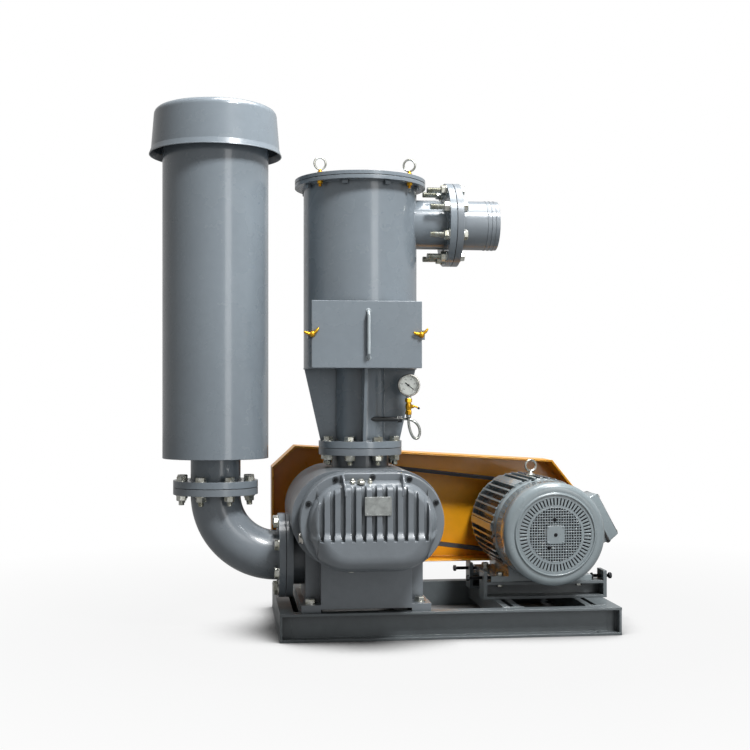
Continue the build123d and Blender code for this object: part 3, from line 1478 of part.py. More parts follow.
def make_pulley(x, z, outer, bore):
    """Grooved pulley with a plain web, turned about its shaft."""
    radius = outer / 2
    front = belt_plane - pulley_width / 2
    slant = groove_depth * sin(radians(belt_angle)) / cos(radians(belt_angle))
    half_top = belt_top / 2 + belt_gap
    with BuildPart() as pulley:
        with BuildSketch(Plane((x, front, z), x_dir=(1, 0, 0), z_dir=(0, 0, 1))):
            with BuildLine():
                outline = [(bore / 2, 0), (radius, 0)]
                for index in range(belt_count):
                    middle = pulley_edge + index * belt_pitch
                    outline += [
                        (radius, middle - half_top),
                        (radius - groove_depth, middle - half_top + slant),
                        (radius - groove_depth, middle + half_top - slant),
                        (radius, middle + half_top),
                    ]
                outline += [(radius, pulley_width), (bore / 2, pulley_width)]
                Polyline(*outline, close=True)
            make_face()
        revolve(axis=Axis((x, front, z), (0, 1, 0)))
        rim = radius - groove_depth - 10
        for face, direction in ((front, -1), (front + pulley_width, 1)):
            with BuildSketch(front_plane(face, x, z)):
                Circle(rim)
                Circle(bore / 2 + 24, mode=Mode.SUBTRACT)
            extrude(amount=direction * (pulley_width / 2 - 8), mode=Mode.SUBTRACT)
        with BuildSketch(front_plane(front, x, z)):
            with PolarLocations((rim + bore / 2 + 24) / 2, 5):
                Circle((rim - bore / 2 - 24) / 2 - 6)
        extrude(amount=-pulley_width, mode=Mode.SUBTRACT)
    return pulley


finish_piece(make_pulley(drive_x, pump_z, pump_pulley_outer, drive_shaft_size), "pump_pulley")
finish_piece(make_pulley(motor_x, motor_z, motor_pulley_outer, motor_shaft), "motor_pulley")

pump_wrap = pump_pulley_outer / 2
motor_wrap = motor_pulley_outer / 2
centre_run = hypot(motor_x - drive_x, motor_z - pump_z)
run_angle = degrees(atan2(motor_z - pump_z, motor_x - drive_x))
lean = degrees(pi / 2 - atan2(pump_wrap - motor_wrap, centre_run))
with BuildPart() as v_belts:
    for index in range(belt_count):
        belt_y = belt_plane + (index - (belt_count - 1) / 2) * belt_pitch
        upper = radians(run_angle + lean)
        lower = radians(run_angle - lean)
        with BuildLine(front_plane(belt_y)) as belt_path:
            Line(
                (drive_x + pump_wrap * cos(lower), pump_z + pump_wrap * sin(lower)),
                (motor_x + motor_wrap * cos(lower), motor_z + motor_wrap * sin(lower)),
            )
            CenterArc((motor_x, motor_z), motor_wrap, run_angle - lean, 2 * lean)
            Line(
                (motor_x + motor_wrap * cos(upper), motor_z + motor_wrap * sin(upper)),
                (drive_x + pump_wrap * cos(upper), pump_z + pump_wrap * sin(upper)),
            )
            CenterArc((drive_x, pump_z), pump_wrap, run_angle + lean, 360 - 2 * lean)
        start = (drive_x + pump_wrap * cos(lower), belt_y, pump_z + pump_wrap * sin(lower))
        along = (-sin(lower), 0, cos(lower))
        with BuildSketch(Plane(start, x_dir=(0, 1, 0), z_dir=along)):
            half_foot = belt_top / 2 - belt_depth * sin(radians(belt_angle)) / cos(radians(belt_angle))
            with BuildLine():
                Polyline(
                    (-belt_top / 2, 0),
                    (belt_top / 2, 0),
                    (half_foot, belt_depth),
                    (-half_foot, belt_depth),
                    close=True,
                )
            make_face()
        sweep(path=belt_path.wires()[0])
finish_piece(v_belts, "v_belts")

bracket_width = 60.0
bracket_sheet = 6.0
bracket_start = 4.0
bracket_end = 40.0
with BuildPart() as belt_guard:
    with BuildSketch(front_plane(guard_front)) as guard_outline:
        with BuildLine():
            Polyline(
                (guard_left, guard_bottom),
                (guard_left, guard_top - guard_corner_rise),
                (guard_left + guard_corner, guard_top),
                (guard_right - guard_slope_end, guard_top - guard_slope_drop),
                (guard_right, guard_top - guard_slope_drop - guard_slope_rise),
                (guard_right, guard_bottom),
                close=True,
            )
        make_face()
    extrude(amount=-guard_depth)
    with BuildSketch(front_plane(guard_front)):
        offset(guard_outline.sketch, amount=-guard_sheet)
    extrude(amount=-(guard_depth - guard_sheet), mode=Mode.SUBTRACT)
    # brackets welded under the guard stand on the rear channel
    for x in (pump_x + 40, motor_x):
        with BuildSketch(side_plane(x, base_depth / 2 - channel_width, 0)):
            with BuildLine():
                Polyline(
                    (bracket_start, base_top),
                    (bracket_end, base_top),
                    (bracket_end, base_top + bracket_sheet),
                    (bracket_start + bracket_sheet, base_top + bracket_sheet),
                    (bracket_start + bracket_sheet, guard_bottom - bracket_sheet),
                    (bracket_end, guard_bottom - bracket_sheet),
                    (bracket_end, guard_bottom),
                    (bracket_start, guard_bottom),
                    close=True,
                )
            make_face()
        extrude(amount=bracket_width / 2, both=True)
finish_piece(belt_guard, "belt_guard")
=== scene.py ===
import bpy
import json
import math
from mathutils import Matrix, Vector

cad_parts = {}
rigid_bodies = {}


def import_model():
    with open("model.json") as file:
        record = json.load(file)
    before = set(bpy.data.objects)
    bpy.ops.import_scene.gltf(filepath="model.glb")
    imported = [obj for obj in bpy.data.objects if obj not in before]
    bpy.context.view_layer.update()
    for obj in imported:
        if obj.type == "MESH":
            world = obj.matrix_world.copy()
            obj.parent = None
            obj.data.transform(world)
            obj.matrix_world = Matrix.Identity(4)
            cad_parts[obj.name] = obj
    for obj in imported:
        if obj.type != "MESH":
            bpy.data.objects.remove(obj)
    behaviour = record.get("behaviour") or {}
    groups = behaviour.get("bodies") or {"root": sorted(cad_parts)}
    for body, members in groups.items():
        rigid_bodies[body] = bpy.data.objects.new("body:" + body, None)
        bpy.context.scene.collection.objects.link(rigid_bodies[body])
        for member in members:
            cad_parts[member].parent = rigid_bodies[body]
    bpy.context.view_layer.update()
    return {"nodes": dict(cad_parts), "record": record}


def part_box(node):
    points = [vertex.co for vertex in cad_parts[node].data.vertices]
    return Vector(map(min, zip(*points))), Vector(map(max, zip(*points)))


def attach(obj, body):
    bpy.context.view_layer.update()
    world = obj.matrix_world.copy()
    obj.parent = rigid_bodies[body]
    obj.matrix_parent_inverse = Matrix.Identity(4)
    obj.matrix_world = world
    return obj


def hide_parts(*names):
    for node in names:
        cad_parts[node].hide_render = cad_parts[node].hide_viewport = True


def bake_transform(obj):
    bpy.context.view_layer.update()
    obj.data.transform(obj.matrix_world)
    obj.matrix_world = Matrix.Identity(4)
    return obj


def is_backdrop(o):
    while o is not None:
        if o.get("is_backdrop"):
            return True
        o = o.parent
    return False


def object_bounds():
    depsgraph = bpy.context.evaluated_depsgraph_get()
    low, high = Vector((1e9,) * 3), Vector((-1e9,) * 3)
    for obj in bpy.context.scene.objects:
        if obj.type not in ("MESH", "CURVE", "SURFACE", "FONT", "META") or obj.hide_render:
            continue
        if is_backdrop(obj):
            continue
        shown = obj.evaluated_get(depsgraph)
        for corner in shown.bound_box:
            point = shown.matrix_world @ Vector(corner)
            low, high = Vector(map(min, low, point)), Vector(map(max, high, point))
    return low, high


for thing in list(bpy.data.objects):
    bpy.data.objects.remove(thing)
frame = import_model()
nodes = frame["nodes"]
print("frame loaded:", len(nodes), "nodes")


def shade(red, green, blue):
    # a screen colour (0 to 255) as the linear colour a shader takes
    return [((c / 255 + 0.055) / 1.055) ** 2.4 if c > 10 else c / 3300 for c in (red, green, blue)] + [1.0]


# ---- finishes

def newFinish(name):
    finish = bpy.data.materials.new(name)
    finish.use_nodes = True
    tree = finish.node_tree
    return finish, tree, tree.nodes["Principled BSDF"]


def feed(tree, node, inputs):
    # each input takes a link or a plain value
    for key, value in inputs.items():
        if isinstance(value, bpy.types.NodeSocket):
            tree.links.new(value, node.inputs[key])
        else:
            node.inputs[key].default_value = value


def addNode(tree, kind, inputs=None, **settings):
    node = tree.nodes.new(kind)
    for key, value in settings.items():
        setattr(node, key, value)
    feed(tree, node, inputs or {})
    return node


def grain(tree, scale, detail=4.0, rough=0.55, stretch=None):
    # noise over the object's own coordinates, drawn out along one axis if asked
    place = addNode(tree, "ShaderNodeTexCoord").outputs["Object"]
    if stretch:
        place = addNode(tree, "ShaderNodeMapping", {0: place, "Scale": stretch}).outputs[0]
    inputs = {"Vector": place, "Scale": scale, "Detail": detail, "Roughness": rough}
    return addNode(tree, "ShaderNodeTexNoise", inputs).outputs[0]


def ramp(tree, value, low, high, toLow=0.0, toHigh=1.0):
    return addNode(tree, "ShaderNodeMapRange", {0: value, 1: low, 2: high, 3: toLow, 4: toHigh}).outputs[0]


def combined(tree, operation, first, second):
    return addNode(tree, "ShaderNodeMath", {0: first, 1: second}, operation=operation).outputs[0]


def blendColour(tree, amount, first, second):
    return addNode(tree, "ShaderNodeMix", {0: amount, 6: first, 7: second}, data_type="RGBA").outputs[2]


def openSky(tree, reach, samples):
    # 1 in the open, towards 0 in corners and under other pieces
    node = addNode(tree, "ShaderNodeAmbientOcclusion", {"Distance": reach}, samples=samples, only_local=False)
    return node.outputs["AO"]


def bumped(tree, height, strength, depth, normal=None):
    inputs = {"Height": height, "Strength": strength, "Distance": depth}
    if normal:
        inputs["Normal"] = normal
    return addNode(tree, "ShaderNodeBump", inputs).outputs[0]


def softEdges(tree, radius):
    # the normal as if every edge had this radius, and how far it leaves the true one
    rounded = addNode(tree, "ShaderNodeBevel", {"Radius": radius}, samples=6).outputs[0]
    true = addNode(tree, "ShaderNodeNewGeometry").outputs["Normal"]
    turn = addNode(tree, "ShaderNodeVectorMath", {0: rounded, 1: true}, operation="DOT_PRODUCT")
    return rounded, turn.outputs["Value"]


paintLooks = {
    # base, worn and painted-highlight edge, dust with painted shade in hollows: screen colours; rough, peel
    # (bump), mottle (tone change), wear with painted edge highlight, coat
    "skid_paint": dict(base=(100, 107, 110), edge=(168, 176, 178), dust_and_shade=(34, 37, 37),
                       rough=0.40, peel=0.10, mottle=0.16, wear_and_highlight=0.60, coat=0.2),
    "pump_paint": dict(base=(122, 129, 135), edge=(182, 190, 195), dust_and_shade=(36, 39, 40),
                       rough=0.34, peel=0.22, mottle=0.12, wear_and_highlight=0.45, coat=0.35),
    "pipe_paint": dict(base=(126, 134, 141), edge=(175, 182, 188), dust_and_shade=(42, 45, 46),
                       rough=0.30, peel=0.10, mottle=0.10, wear_and_highlight=0.35, coat=0.4),
    "drum_paint": dict(base=(128, 138, 146), edge=(178, 187, 193), dust_and_shade=(50, 54, 56),
                       rough=0.26, peel=0.06, mottle=0.08, wear_and_highlight=0.25, coat=0.5),
    "motor_paint": dict(base=(134, 145, 149), edge=(196, 204, 206), dust_and_shade=(34, 38, 37),
                        rough=0.24, peel=0.10, mottle=0.10, wear_and_highlight=0.40, coat=0.6),
    "guard_paint": dict(base=(244, 168, 26), edge=(255, 222, 110), dust_and_shade=(132, 82, 20),
                        rough=0.34, peel=0.08, mottle=0.10, wear_and_highlight=0.30, coat=0.3),
    "handle_paint": dict(base=(176, 186, 190), edge=(220, 225, 228), dust_and_shade=(70, 74, 76),
                         rough=0.26, peel=0.06, mottle=0.12, wear_and_highlight=0.8, coat=0.4),
    "dark_pipe": dict(base=(44, 47, 48), edge=(110, 112, 108), dust_and_shade=(24, 24, 23),
                      rough=0.5, peel=0.2, mottle=0.2, wear_and_highlight=0.6, coat=0.1),
    "dial_enamel": dict(base=(250, 250, 246), edge=(250, 250, 246), dust_and_shade=(225, 225, 220),
                        rough=0.5, peel=0.0, mottle=0.03, wear_and_highlight=0.0, coat=0.0),
    "needle_black": dict(base=(20, 20, 21), edge=(40, 40, 40), dust_and_shade=(12, 12, 12),
                         rough=0.5, peel=0.0, mottle=0.1, wear_and_highlight=0.0, coat=0.0),
}
paintGrain = dict(broad=2.2, fine=34.0, dust_and_shade=12.0, chips=70.0, gloss=9.0, peel=240.0)    # noise scales
paintReach = dict(hollow=0.045, edge=0.0022, peel=0.0012)    # metres


def paintFinish(name, look):
    finish, tree, shader = newFinish(name)
    mottle, gloss = look["mottle"], look["rough"]
    broad = ramp(tree, grain(tree, paintGrain["broad"], 5.0), 0.3, 0.7, -mottle, mottle)
    fine = ramp(tree, grain(tree, paintGrain["fine"], 6.0, 0.65), 0.35, 0.7, -0.35 * mottle, 0.35 * mottle)
    tone = ramp(tree, combined(tree, "ADD", broad, fine), -1, 1, 0.0, 2.0)
    base = addNode(tree, "ShaderNodeHueSaturation", {"Value": tone, "Color": shade(*look["base"])}).outputs[0]
    # painted shade, partly dust: the paint turns towards its dark dust colour in corners and under other
    # pieces, where AO finds them closed in, broken up by noise patches
    hollow = ramp(tree, openSky(tree, paintReach["hollow"], 6), 0.75, 0.15, 0.0, 0.85)
    patches = ramp(tree, grain(tree, paintGrain["dust_and_shade"]), 0.3, 0.6, 0.6, 1.0)
    base = blendColour(tree, combined(tree, "MULTIPLY", hollow, patches), base, shade(*look["dust_and_shade"]))
    rounded, turn = softEdges(tree, paintReach["edge"])
    # painted edge highlight, partly wear: edges found by the rounded bevel normal turn towards the lighter
    # edge colour, broken up by chip noise
    chips = ramp(tree, grain(tree, paintGrain["chips"], 3.0), 0.35, 0.65, 0.25, 1.0)
    wornAndLitEdges = combined(tree, "MULTIPLY", ramp(tree, turn, 0.995, 0.80, 0.0, look["wear_and_highlight"]), chips)
    peel = grain(tree, paintGrain["peel"], 3.0)
    feed(tree, shader, {
        "Base Color": blendColour(tree, wornAndLitEdges, base, shade(*look["edge"])),
        "Roughness": ramp(tree, grain(tree, paintGrain["gloss"], 5.0), 0.3, 0.7, gloss * 0.8, gloss * 1.25),
        "Normal": bumped(tree, peel, look["peel"], paintReach["peel"], rounded),
        "Coat Weight": look["coat"], "Coat Roughness": 0.08, "Coat Normal": rounded,
    })
    return finish


metalLooks = {
    "machined_iron": dict(base=(120, 120, 118), spot=(82, 80, 76), rough=0.38, lines=0.3),
    "machined_steel": dict(base=(178, 178, 174), spot=(140, 138, 132), rough=0.26, lines=0.3),
    "dark_screws": dict(base=(56, 58, 60), spot=(36, 36, 38), rough=0.4, lines=0.1),
    "zinc_fasteners": dict(base=(205, 206, 200), spot=(160, 158, 138), rough=0.26, lines=0.15),
    "plate_aluminium": dict(base=(172, 176, 174), spot=(142, 146, 144), rough=0.42, lines=0.35),
    "brass_fittings": dict(base=(232, 178, 52), spot=(186, 134, 40), rough=0.3, lines=0.15),
    "siphon_steel": dict(base=(176, 180, 176), spot=(128, 128, 120), rough=0.24, lines=0.1),
    "gauge_steel": dict(base=(206, 204, 198), spot=(168, 164, 156), rough=0.16, lines=0.05),
    "pulley_iron": dict(base=(92, 96, 98), spot=(62, 64, 64), rough=0.42, lines=0.25),
}
metalGrain = dict(spots=45.0, gloss=30.0, lines=500.0, stretch=(1, 12, 1), depth=0.0004)


def metalFinish(name, look):
    finish, tree, shader = newFinish(name)
    spots = ramp(tree, grain(tree, metalGrain["spots"], 6.0, 0.7), 0.42, 0.68)
    gloss = grain(tree, metalGrain["gloss"], 4.0)
    lines = grain(tree, metalGrain["lines"], 2.0, 0.5, metalGrain["stretch"])
    feed(tree, shader, {
        "Base Color": blendColour(tree, spots, shade(*look["base"]), shade(*look["spot"])),
        "Metallic": 1.0,
        "Roughness": ramp(tree, gloss, 0.3, 0.7, look["rough"] * 0.7, look["rough"] * 1.4),
        "Normal": bumped(tree, lines, look["lines"], metalGrain["depth"]),
    })
    return finish


softLooks = {
    "gasket_sheet": dict(base=(38, 38, 38), spot=(62, 60, 56), rough=0.85, scale=180.0, bump=0.4),
    "black_rubber": dict(base=(24, 24, 25), spot=(44, 44, 44), rough=0.7, scale=90.0, bump=0.3),
    "belt_rubber": dict(base=(22, 23, 26), spot=(48, 48, 52), rough=0.62, scale=320.0, bump=0.5),
    "filter_paper": dict(base=(222, 216, 192), spot=(188, 180, 150), rough=0.9, scale=120.0, bump=0.4),
    "fan_plastic": dict(base=(36, 38, 40), spot=(58, 60, 60), rough=0.55, scale=40.0, bump=0.1),
}
softGrain = dict(gloss=20.0, weave=2.5, depth=0.0006)    # weave is a share of the spots' scale


def softFinish(name, look):
    finish, tree, shader = newFinish(name)
    rough = look["rough"]
    spots = ramp(tree, grain(tree, look["scale"], 5.0, 0.65), 0.4, 0.7)
    gloss = grain(tree, softGrain["gloss"])
    weave = grain(tree, look["scale"] * softGrain["weave"], 3.0)
    feed(tree, shader, {
        "Base Color": blendColour(tree, spots, shade(*look["base"]), shade(*look["spot"])),
        "Roughness": ramp(tree, gloss, 0.3, 0.7, rough * 0.85, min(1.0, rough * 1.15)),
        "Normal": bumped(tree, weave, look["bump"], softGrain["depth"]),
    })
    return finish


def lensFinish(name):
    finish, tree, shader = newFinish(name)
    feed(tree, shader, {
        "Base Color": (0.96, 0.98, 0.98, 1), "Transmission Weight": 1.0, "IOR": 1.15,
        "Roughness": ramp(tree, grain(tree, 60.0), 0.3, 0.8, 0.02, 0.07),
    })
    return finish


finishes = {name: paintFinish(name, look) for name, look in paintLooks.items()}
finishes.update({name: metalFinish(name, look) for name, look in metalLooks.items()})
finishes.update({name: softFinish(name, look) for name, look in softLooks.items()})
finishes["gauge_lens"] = lensFinish("gauge_lens")
for row in frame["record"]["subparts"]:
    node = nodes[row["node"]]
    for holder in node.material_slots:
        holder.material = finishes[row["material_slot"]]
    if not node.material_slots:
        node.data.materials.append(finishes[row["material_slot"]])
print("finishes made:", len(finishes))

# ---- shapes: every form is a list of corners and a list of faces, in millimetres
up, down, front, left, right = (0, 0, 1), (0, 0, -1), (0, -1, 0), (-1, 0, 0), (1, 0, 0)


def polar(radius, degrees):
    a = math.radians(degrees)
    return radius * math.cos(a), radius * math.sin(a)


def ringOf(radius, count, height=0.0):
    turns = [math.tau * i / count for i in range(count)]
    return [(radius * math.cos(a), radius * math.sin(a), height) for a in turns]


def turned(profile, sides=48):
    # (radius, height) pairs turned about Z; a radius of 0 closes to a point
    verts, faces, rings = [], [], []
    for radius, height in profile:
        count = sides if radius > 1e-6 else 1
        rings.append([len(verts) + i for i in range(count)])
        verts += ringOf(radius, count, height)
    for a, b in zip(rings, rings[1:]):
        for i in range(sides):
            j = (i + 1) % sides
            face = list(dict.fromkeys([a[i % len(a)], a[j % len(a)], b[j % len(b)], b[i % len(b)]]))
            if len(face) > 2:
                faces.append(face)
    return verts, faces


def arc(centreX, centreY, radius, start, end, steps=6):
    # points on an arc, angles in degrees
    points = [polar(radius, start + (end - start) * i / steps) for i in range(steps + 1)]
    return [(centreX + x, centreY + y) for x, y in points]


def roundBox(width, height, corner, steps=4):
    x, y = width / 2 - corner, height / 2 - corner
    outline = []
    for i, (cx, cy) in enumerate(((x, y), (-x, y), (-x, -y), (x, -y))):
        outline += arc(cx, cy, corner, 90 * i, 90 * i + 90, steps)
    return outline


def oblong(lowX, lowY, highX, highY):
    return [(lowX, lowY), (highX, lowY), (highX, highY), (lowX, highY)]


def corners(x, y):
    return [(sx * x, sy * y) for sx in (-1, 1) for sy in (-1, 1)]


def inset(outline, amount):
    # each corner moved inwards along the mean of its two edge normals
    moved = []
    for before, here, after in zip(outline[-1:] + outline[:-1], outline, outline[1:] + outline[:1]):
        one = Vector((here[0] - before[0], here[1] - before[1])).normalized()
        two = Vector((after[0] - here[0], after[1] - here[1])).normalized()
        mean = one + two
        if mean.length < 1e-6:
            moved.append(here)
            continue
        mean.normalize()
        reach = amount / max(0.3, mean.dot(two))
        moved.append((here[0] - mean.y * reach, here[1] + mean.x * reach))
    return moved


def lofted(outline, levels):
    # an outline (anticlockwise) through levels of (inset, height), closed at both ends
    verts, faces, size = [], [], len(outline)
    for shrink, height in levels:
        verts += [(x, y, height) for x, y in (inset(outline, shrink) if shrink else outline)]
    for k in range(len(levels) - 1):
        low, high = k * size, (k + 1) * size
        for i in range(size):
            j = (i + 1) % size
            faces.append([low + i, low + j, high + j, high + i])
    faces += [list(range(size))[::-1], [(len(levels) - 1) * size + i for i in range(size)]]
    return verts, faces


def slab(outline, thickness, bevel=0.0):
    # an outline raised from 0 to thickness, its far edges bevelled
    return lofted(outline, [(0.0, 0.0), (0.0, thickness - bevel)] + ([(bevel, thickness)] if bevel else []))


def tube(points, radius, sides=14, closed=False):
    # a round bar along the points; radius may be one number or one for each point
    points = [Vector(p) for p in points]
    count = len(points)
    radii = [radius] * count if isinstance(radius, (int, float)) else radius
    verts, faces, side = [], [], None
    for i, p in enumerate(points):
        ahead = points[(i + 1) % count] if closed or i < count - 1 else p
        behind = points[i - 1] if closed or i > 0 else p
        along = (ahead - behind).normalized()
        side = along.orthogonal() if side is None else side - along * side.dot(along)
        side.normalize()
        other = along.cross(side)
        verts += [p + radii[i] * (x * side + y * other) for x, y, _ in ringOf(1, sides)]
    for i in range(count if closed else count - 1):
        a, b = i * sides, (i + 1) % count * sides
        faces += [[a + k, a + (k + 1) % sides, b + (k + 1) % sides, b + k] for k in range(sides)]
    if not closed:
        faces += [list(range(sides))[::-1], [(count - 1) * sides + k for k in range(sides)]]
    return verts, faces


def bent(stops, bend, steps=7):
    # a run of straight lines with each inner corner bent to this radius
    stops = [Vector(c) for c in stops]
    path = [stops[0]]
    for before, here, after in zip(stops, stops[1:], stops[2:]):
        one, two = (before - here).normalized(), (after - here).normalized()
        half = one.angle(two) / 2
        reach = min(bend / math.tan(half), 0.49 * (before - here).length, 0.49 * (after - here).length)
        centre = here + (one + two).normalized() * reach / math.cos(half)
        start, end = here + one * reach - centre, here + two * reach - centre
        path += [centre + start.slerp(end, i / steps) for i in range(steps + 1)]
    return path + [stops[-1]]


def newBook():
    return {"verts": [], "faces": [], "slots": []}


def facing(axis):
    # a turn that takes Z along the axis and keeps Y as upright as it can
    z = Vector(axis).normalized()
    y = Vector(up) if abs(z.z) < 0.99 else Vector((0, 1, 0))
    y = (y - z * y.dot(z)).normalized()
    return Matrix((y.cross(z), y, z)).transposed()


def add(book, form, spot=(0, 0, 0), axis=up, spin=0.0, slot=0):
    verts, faces = form
    place = Matrix.Translation(spot) @ facing(axis).to_4x4() @ Matrix.Rotation(math.radians(spin), 4, "Z")
    first = len(book["verts"])
    book["verts"] += [place @ Vector(v) for v in verts]
    book["faces"] += [[first + i for i in face] for face in faces]
    book["slots"] += [slot] * len(faces)


def shown(book, name, slots, sharp):
    # the finished book as an object, edges beyond this angle kept sharp
    mesh = bpy.data.meshes.new(name)
    mesh.from_pydata([v * 0.001 for v in book["verts"]], [], book["faces"])
    mesh.validate()
    for slot in slots:
        mesh.materials.append(finishes[slot])
    if len(mesh.polygons) == len(book["slots"]):
        mesh.polygons.foreach_set("material_index", book["slots"])
    mesh.shade_smooth()
    mesh.set_sharp_from_angle(angle=math.radians(sharp))
    holder = bpy.data.objects.new(name, mesh)
    bpy.context.scene.collection.objects.link(holder)
    return holder


def piece(book, name, body, slots, stands=(), sharp=35):
    # an object that rides on its body, in the place of the nodes it stands for
    holder = shown(book, name, slots, sharp)
    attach(holder, body)
    if stands:
        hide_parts(*stands)


# ---- fasteners
hexTurn = 1 / math.cos(math.pi / 6)    # a hexagon's width over corners, as a share of that over flats
boltLook = dict(
    # shares of the thread's size
    washerOuter=1.9, washerThick=0.15, headHigh=0.64, nutHigh=0.8,
    threadPitch=0.125, threadRoot=0.44, threadEnd=0.40,
    # shares of the washer's thickness, and of the hexagon's height and width
    washerEdge=0.3, shoulder=0.84, chamfer=0.88,
)


def hexForm(flats, height):
    corner, shoulder = flats / 2 * hexTurn, height * boltLook["shoulder"]
    top = (corner * boltLook["chamfer"], height)
    return turned([(0, 0), (corner, 0), (corner, shoulder), top, (0, height)], 6)


def washerForm(size):
    inner, outer, thick = size / 2, size * boltLook["washerOuter"] / 2, size * boltLook["washerThick"]
    edge = thick * boltLook["washerEdge"]
    return turned([(inner, 0), (outer, 0), (outer, thick - edge), (outer - edge, thick), (inner, thick)], 20)


def threadForm(size, length):
    turns = max(2, int(length / (size * boltLook["threadPitch"])))
    pitch, root = length / turns, size * boltLook["threadRoot"]
    profile = [(0, 0)]
    for i in range(turns):
        profile += [(size / 2, (i + 0.25) * pitch), (root, (i + 0.75) * pitch)]
    return turned(profile + [(size * boltLook["threadEnd"], length), (0, length)], 12)


def addHex(book, spot, axis, size, flats, high, spin):
    # a washer and a hexagon on it; returns the middle of the hexagon's far face
    thick = size * boltLook["washerThick"]
    spot, axis = Vector(spot), Vector(axis)
    add(book, washerForm(size), spot, axis, spin)
    add(book, hexForm(flats, size * high), spot + axis * thick, axis, spin)
    return spot + axis * (thick + size * high)


def addBolt(book, spot, axis, size, flats, spin=0.0):
    addHex(book, spot, axis, size, flats, boltLook["headHigh"], spin)


def addNut(book, spot, axis, size, flats, stud, spin=0.0):
    # with the threaded end that stands out of it
    top = addHex(book, spot, axis, size, flats, boltLook["nutHigh"], spin)
    add(book, threadForm(size, stud), top, axis, spin)


def seam(book, spot, axis, radius, size):
    # a weld bead round a pipe: a ring of small overlapping ripples
    count = 3 * max(24, int(radius * math.tau / (size * 0.9)))
    radii = [size * (0.52 + 0.10 * ((i % 3) == 1)) for i in range(count)]
    add(book, tube(ringOf(radius, count), radii, 8, closed=True), spot, axis)


print("shapes ready")

# where the upright pipes stand, the pipe work's middle plane and the inlet's height
pumpX, silencerX, pipeY, inletZ = -280, -763.6, -118, 1365

# ---- pipe joints
pipeJoint = dict(bolts=8, first=22.5, circle=240.0, size=20.0, flats=30.0, flange=22.0, gasket=2.0)
jointSpots = (
    # lower face of the gasket, direction of the bolts' heads, length of stud beyond the nut
    ((pumpX, pipeY, 610), up, 14.0),
    ((silencerX, pipeY, 480.6), up, 14.0),
    ((28, pipeY, inletZ), right, 46.0),
)
dischargeJoint = (-557, pipeY, 252)    # heads only, on the elbow's flange
boltPlaces = []    # place on the bolt circle, and how far its hexagon happens to be turned
for i in range(pipeJoint["bolts"]):
    x, y = polar(pipeJoint["circle"] / 2, pipeJoint["first"] + 360 / pipeJoint["bolts"] * i)
    boltPlaces.append((x, y, i * 37 % 60))
bolts = newBook()
for seat, axis, stud in jointSpots:
    seat, across, axis = Vector(seat), facing(axis), Vector(axis)
    for x, y, spin in boltPlaces:
        out = across @ Vector((x, y, 0))
        head = seat + out + axis * (pipeJoint["gasket"] + pipeJoint["flange"])
        addBolt(bolts, head, axis, pipeJoint["size"], pipeJoint["flats"], spin)
        nut = seat + out - axis * pipeJoint["flange"]
        addNut(bolts, nut, -axis, pipeJoint["size"], pipeJoint["flats"], stud, spin + 13)
for y, z, spin in boltPlaces:
    head = Vector(dischargeJoint) + Vector((0, y, z))
    addBolt(bolts, head, left, pipeJoint["size"], pipeJoint["flats"], spin)
piece(bolts, "flangeBolts", "skid", ["zinc_fasteners"], ["flange_bolts"])
print("pipe joints bolted")

# ---- gear cover
gearCover = dict(
    z=394, seat=-460.0, span=144.0, flange=152.5, flangeHigh=18.0, pitch=32.0, grooves=11, grooveHalf=6.4,
    roof=127.0, roofHigh=36.0, roofRound=34.0, crest=119.0, crestHigh=50.0, crestRound=19.0,
    footTop=-24.0, footEnd=-50.0, belly=132.0, bellyLow=149.0, bellyHigh=62.0, bellyRound=44.0,
    stayX=90.0, stayFoot=84.0, stayMiddle=110.0, stayTop=150.5, stayHigh=52.0, stayHalf=2.6, stayLean=0.10,
    flangeRound=3.0, flangeDrop=2.5, grooveTaper=2.6, ribEdge=2.4, lowFrom=-60.0, lowOver=70.0,
    columns=2.0, rows=150,
)


def smooth(t):
    t = min(1.0, max(0.0, t))
    return t * t * (3 - 2 * t)


def dome(t):
    return math.sqrt(1 - (1 - min(1.0, max(0.0, t))) ** 2)


def coverHeight(u, v, g=gearCover):
    # how far the casting stands in front of its seat at (u, v) from its middle
    d = math.hypot(max(abs(u) - g["span"] / 2, 0), v)
    rim = g["flangeHigh"] - g["flangeDrop"] * smooth((d - g["flange"] + g["flangeRound"]) / g["flangeRound"])
    roof = rim + g["roofHigh"] * dome((g["roof"] - d) / g["roofRound"])
    crest = rim + g["crestHigh"] * dome((g["crest"] - d) / g["crestRound"])
    foot = smooth((g["footTop"] - v) / (g["footTop"] - g["footEnd"]))
    half = g["grooveHalf"] - g["grooveTaper"] * foot
    off = abs((u + g["pitch"] / 2) % g["pitch"] - g["pitch"] / 2)
    rib = smooth((off - half) / g["ribEdge"] + 0.5) if abs(u) < g["grooves"] * g["pitch"] / 2 else 1.0
    rib = max(rib, smooth((g["footEnd"] - v) / 5))
    body = roof + (max(crest, roof) - roof) * rib
    low = smooth((g["lowFrom"] - v) / g["lowOver"])
    bellyReach = g["belly"] + (g["bellyLow"] - g["belly"]) * low
    belly = rim + g["bellyHigh"] * dome((bellyReach - d) / g["bellyRound"])
    body += (max(belly, body) - body) * foot * rib
    # two stiffening fins from the crown to the top edge of the flange
    beside = abs(abs(u) - g["stayX"] - g["stayLean"] * (v - g["stayMiddle"]))
    if v > g["stayFoot"] and beside < 2 * g["stayHalf"]:
        stay = g["stayHigh"] * dome((g["stayTop"] - d) / g["stayHigh"])
        body = max(body, rim + stay * (1 - smooth(beside / g["stayHalf"] - 1)))
    return max(rim, body)


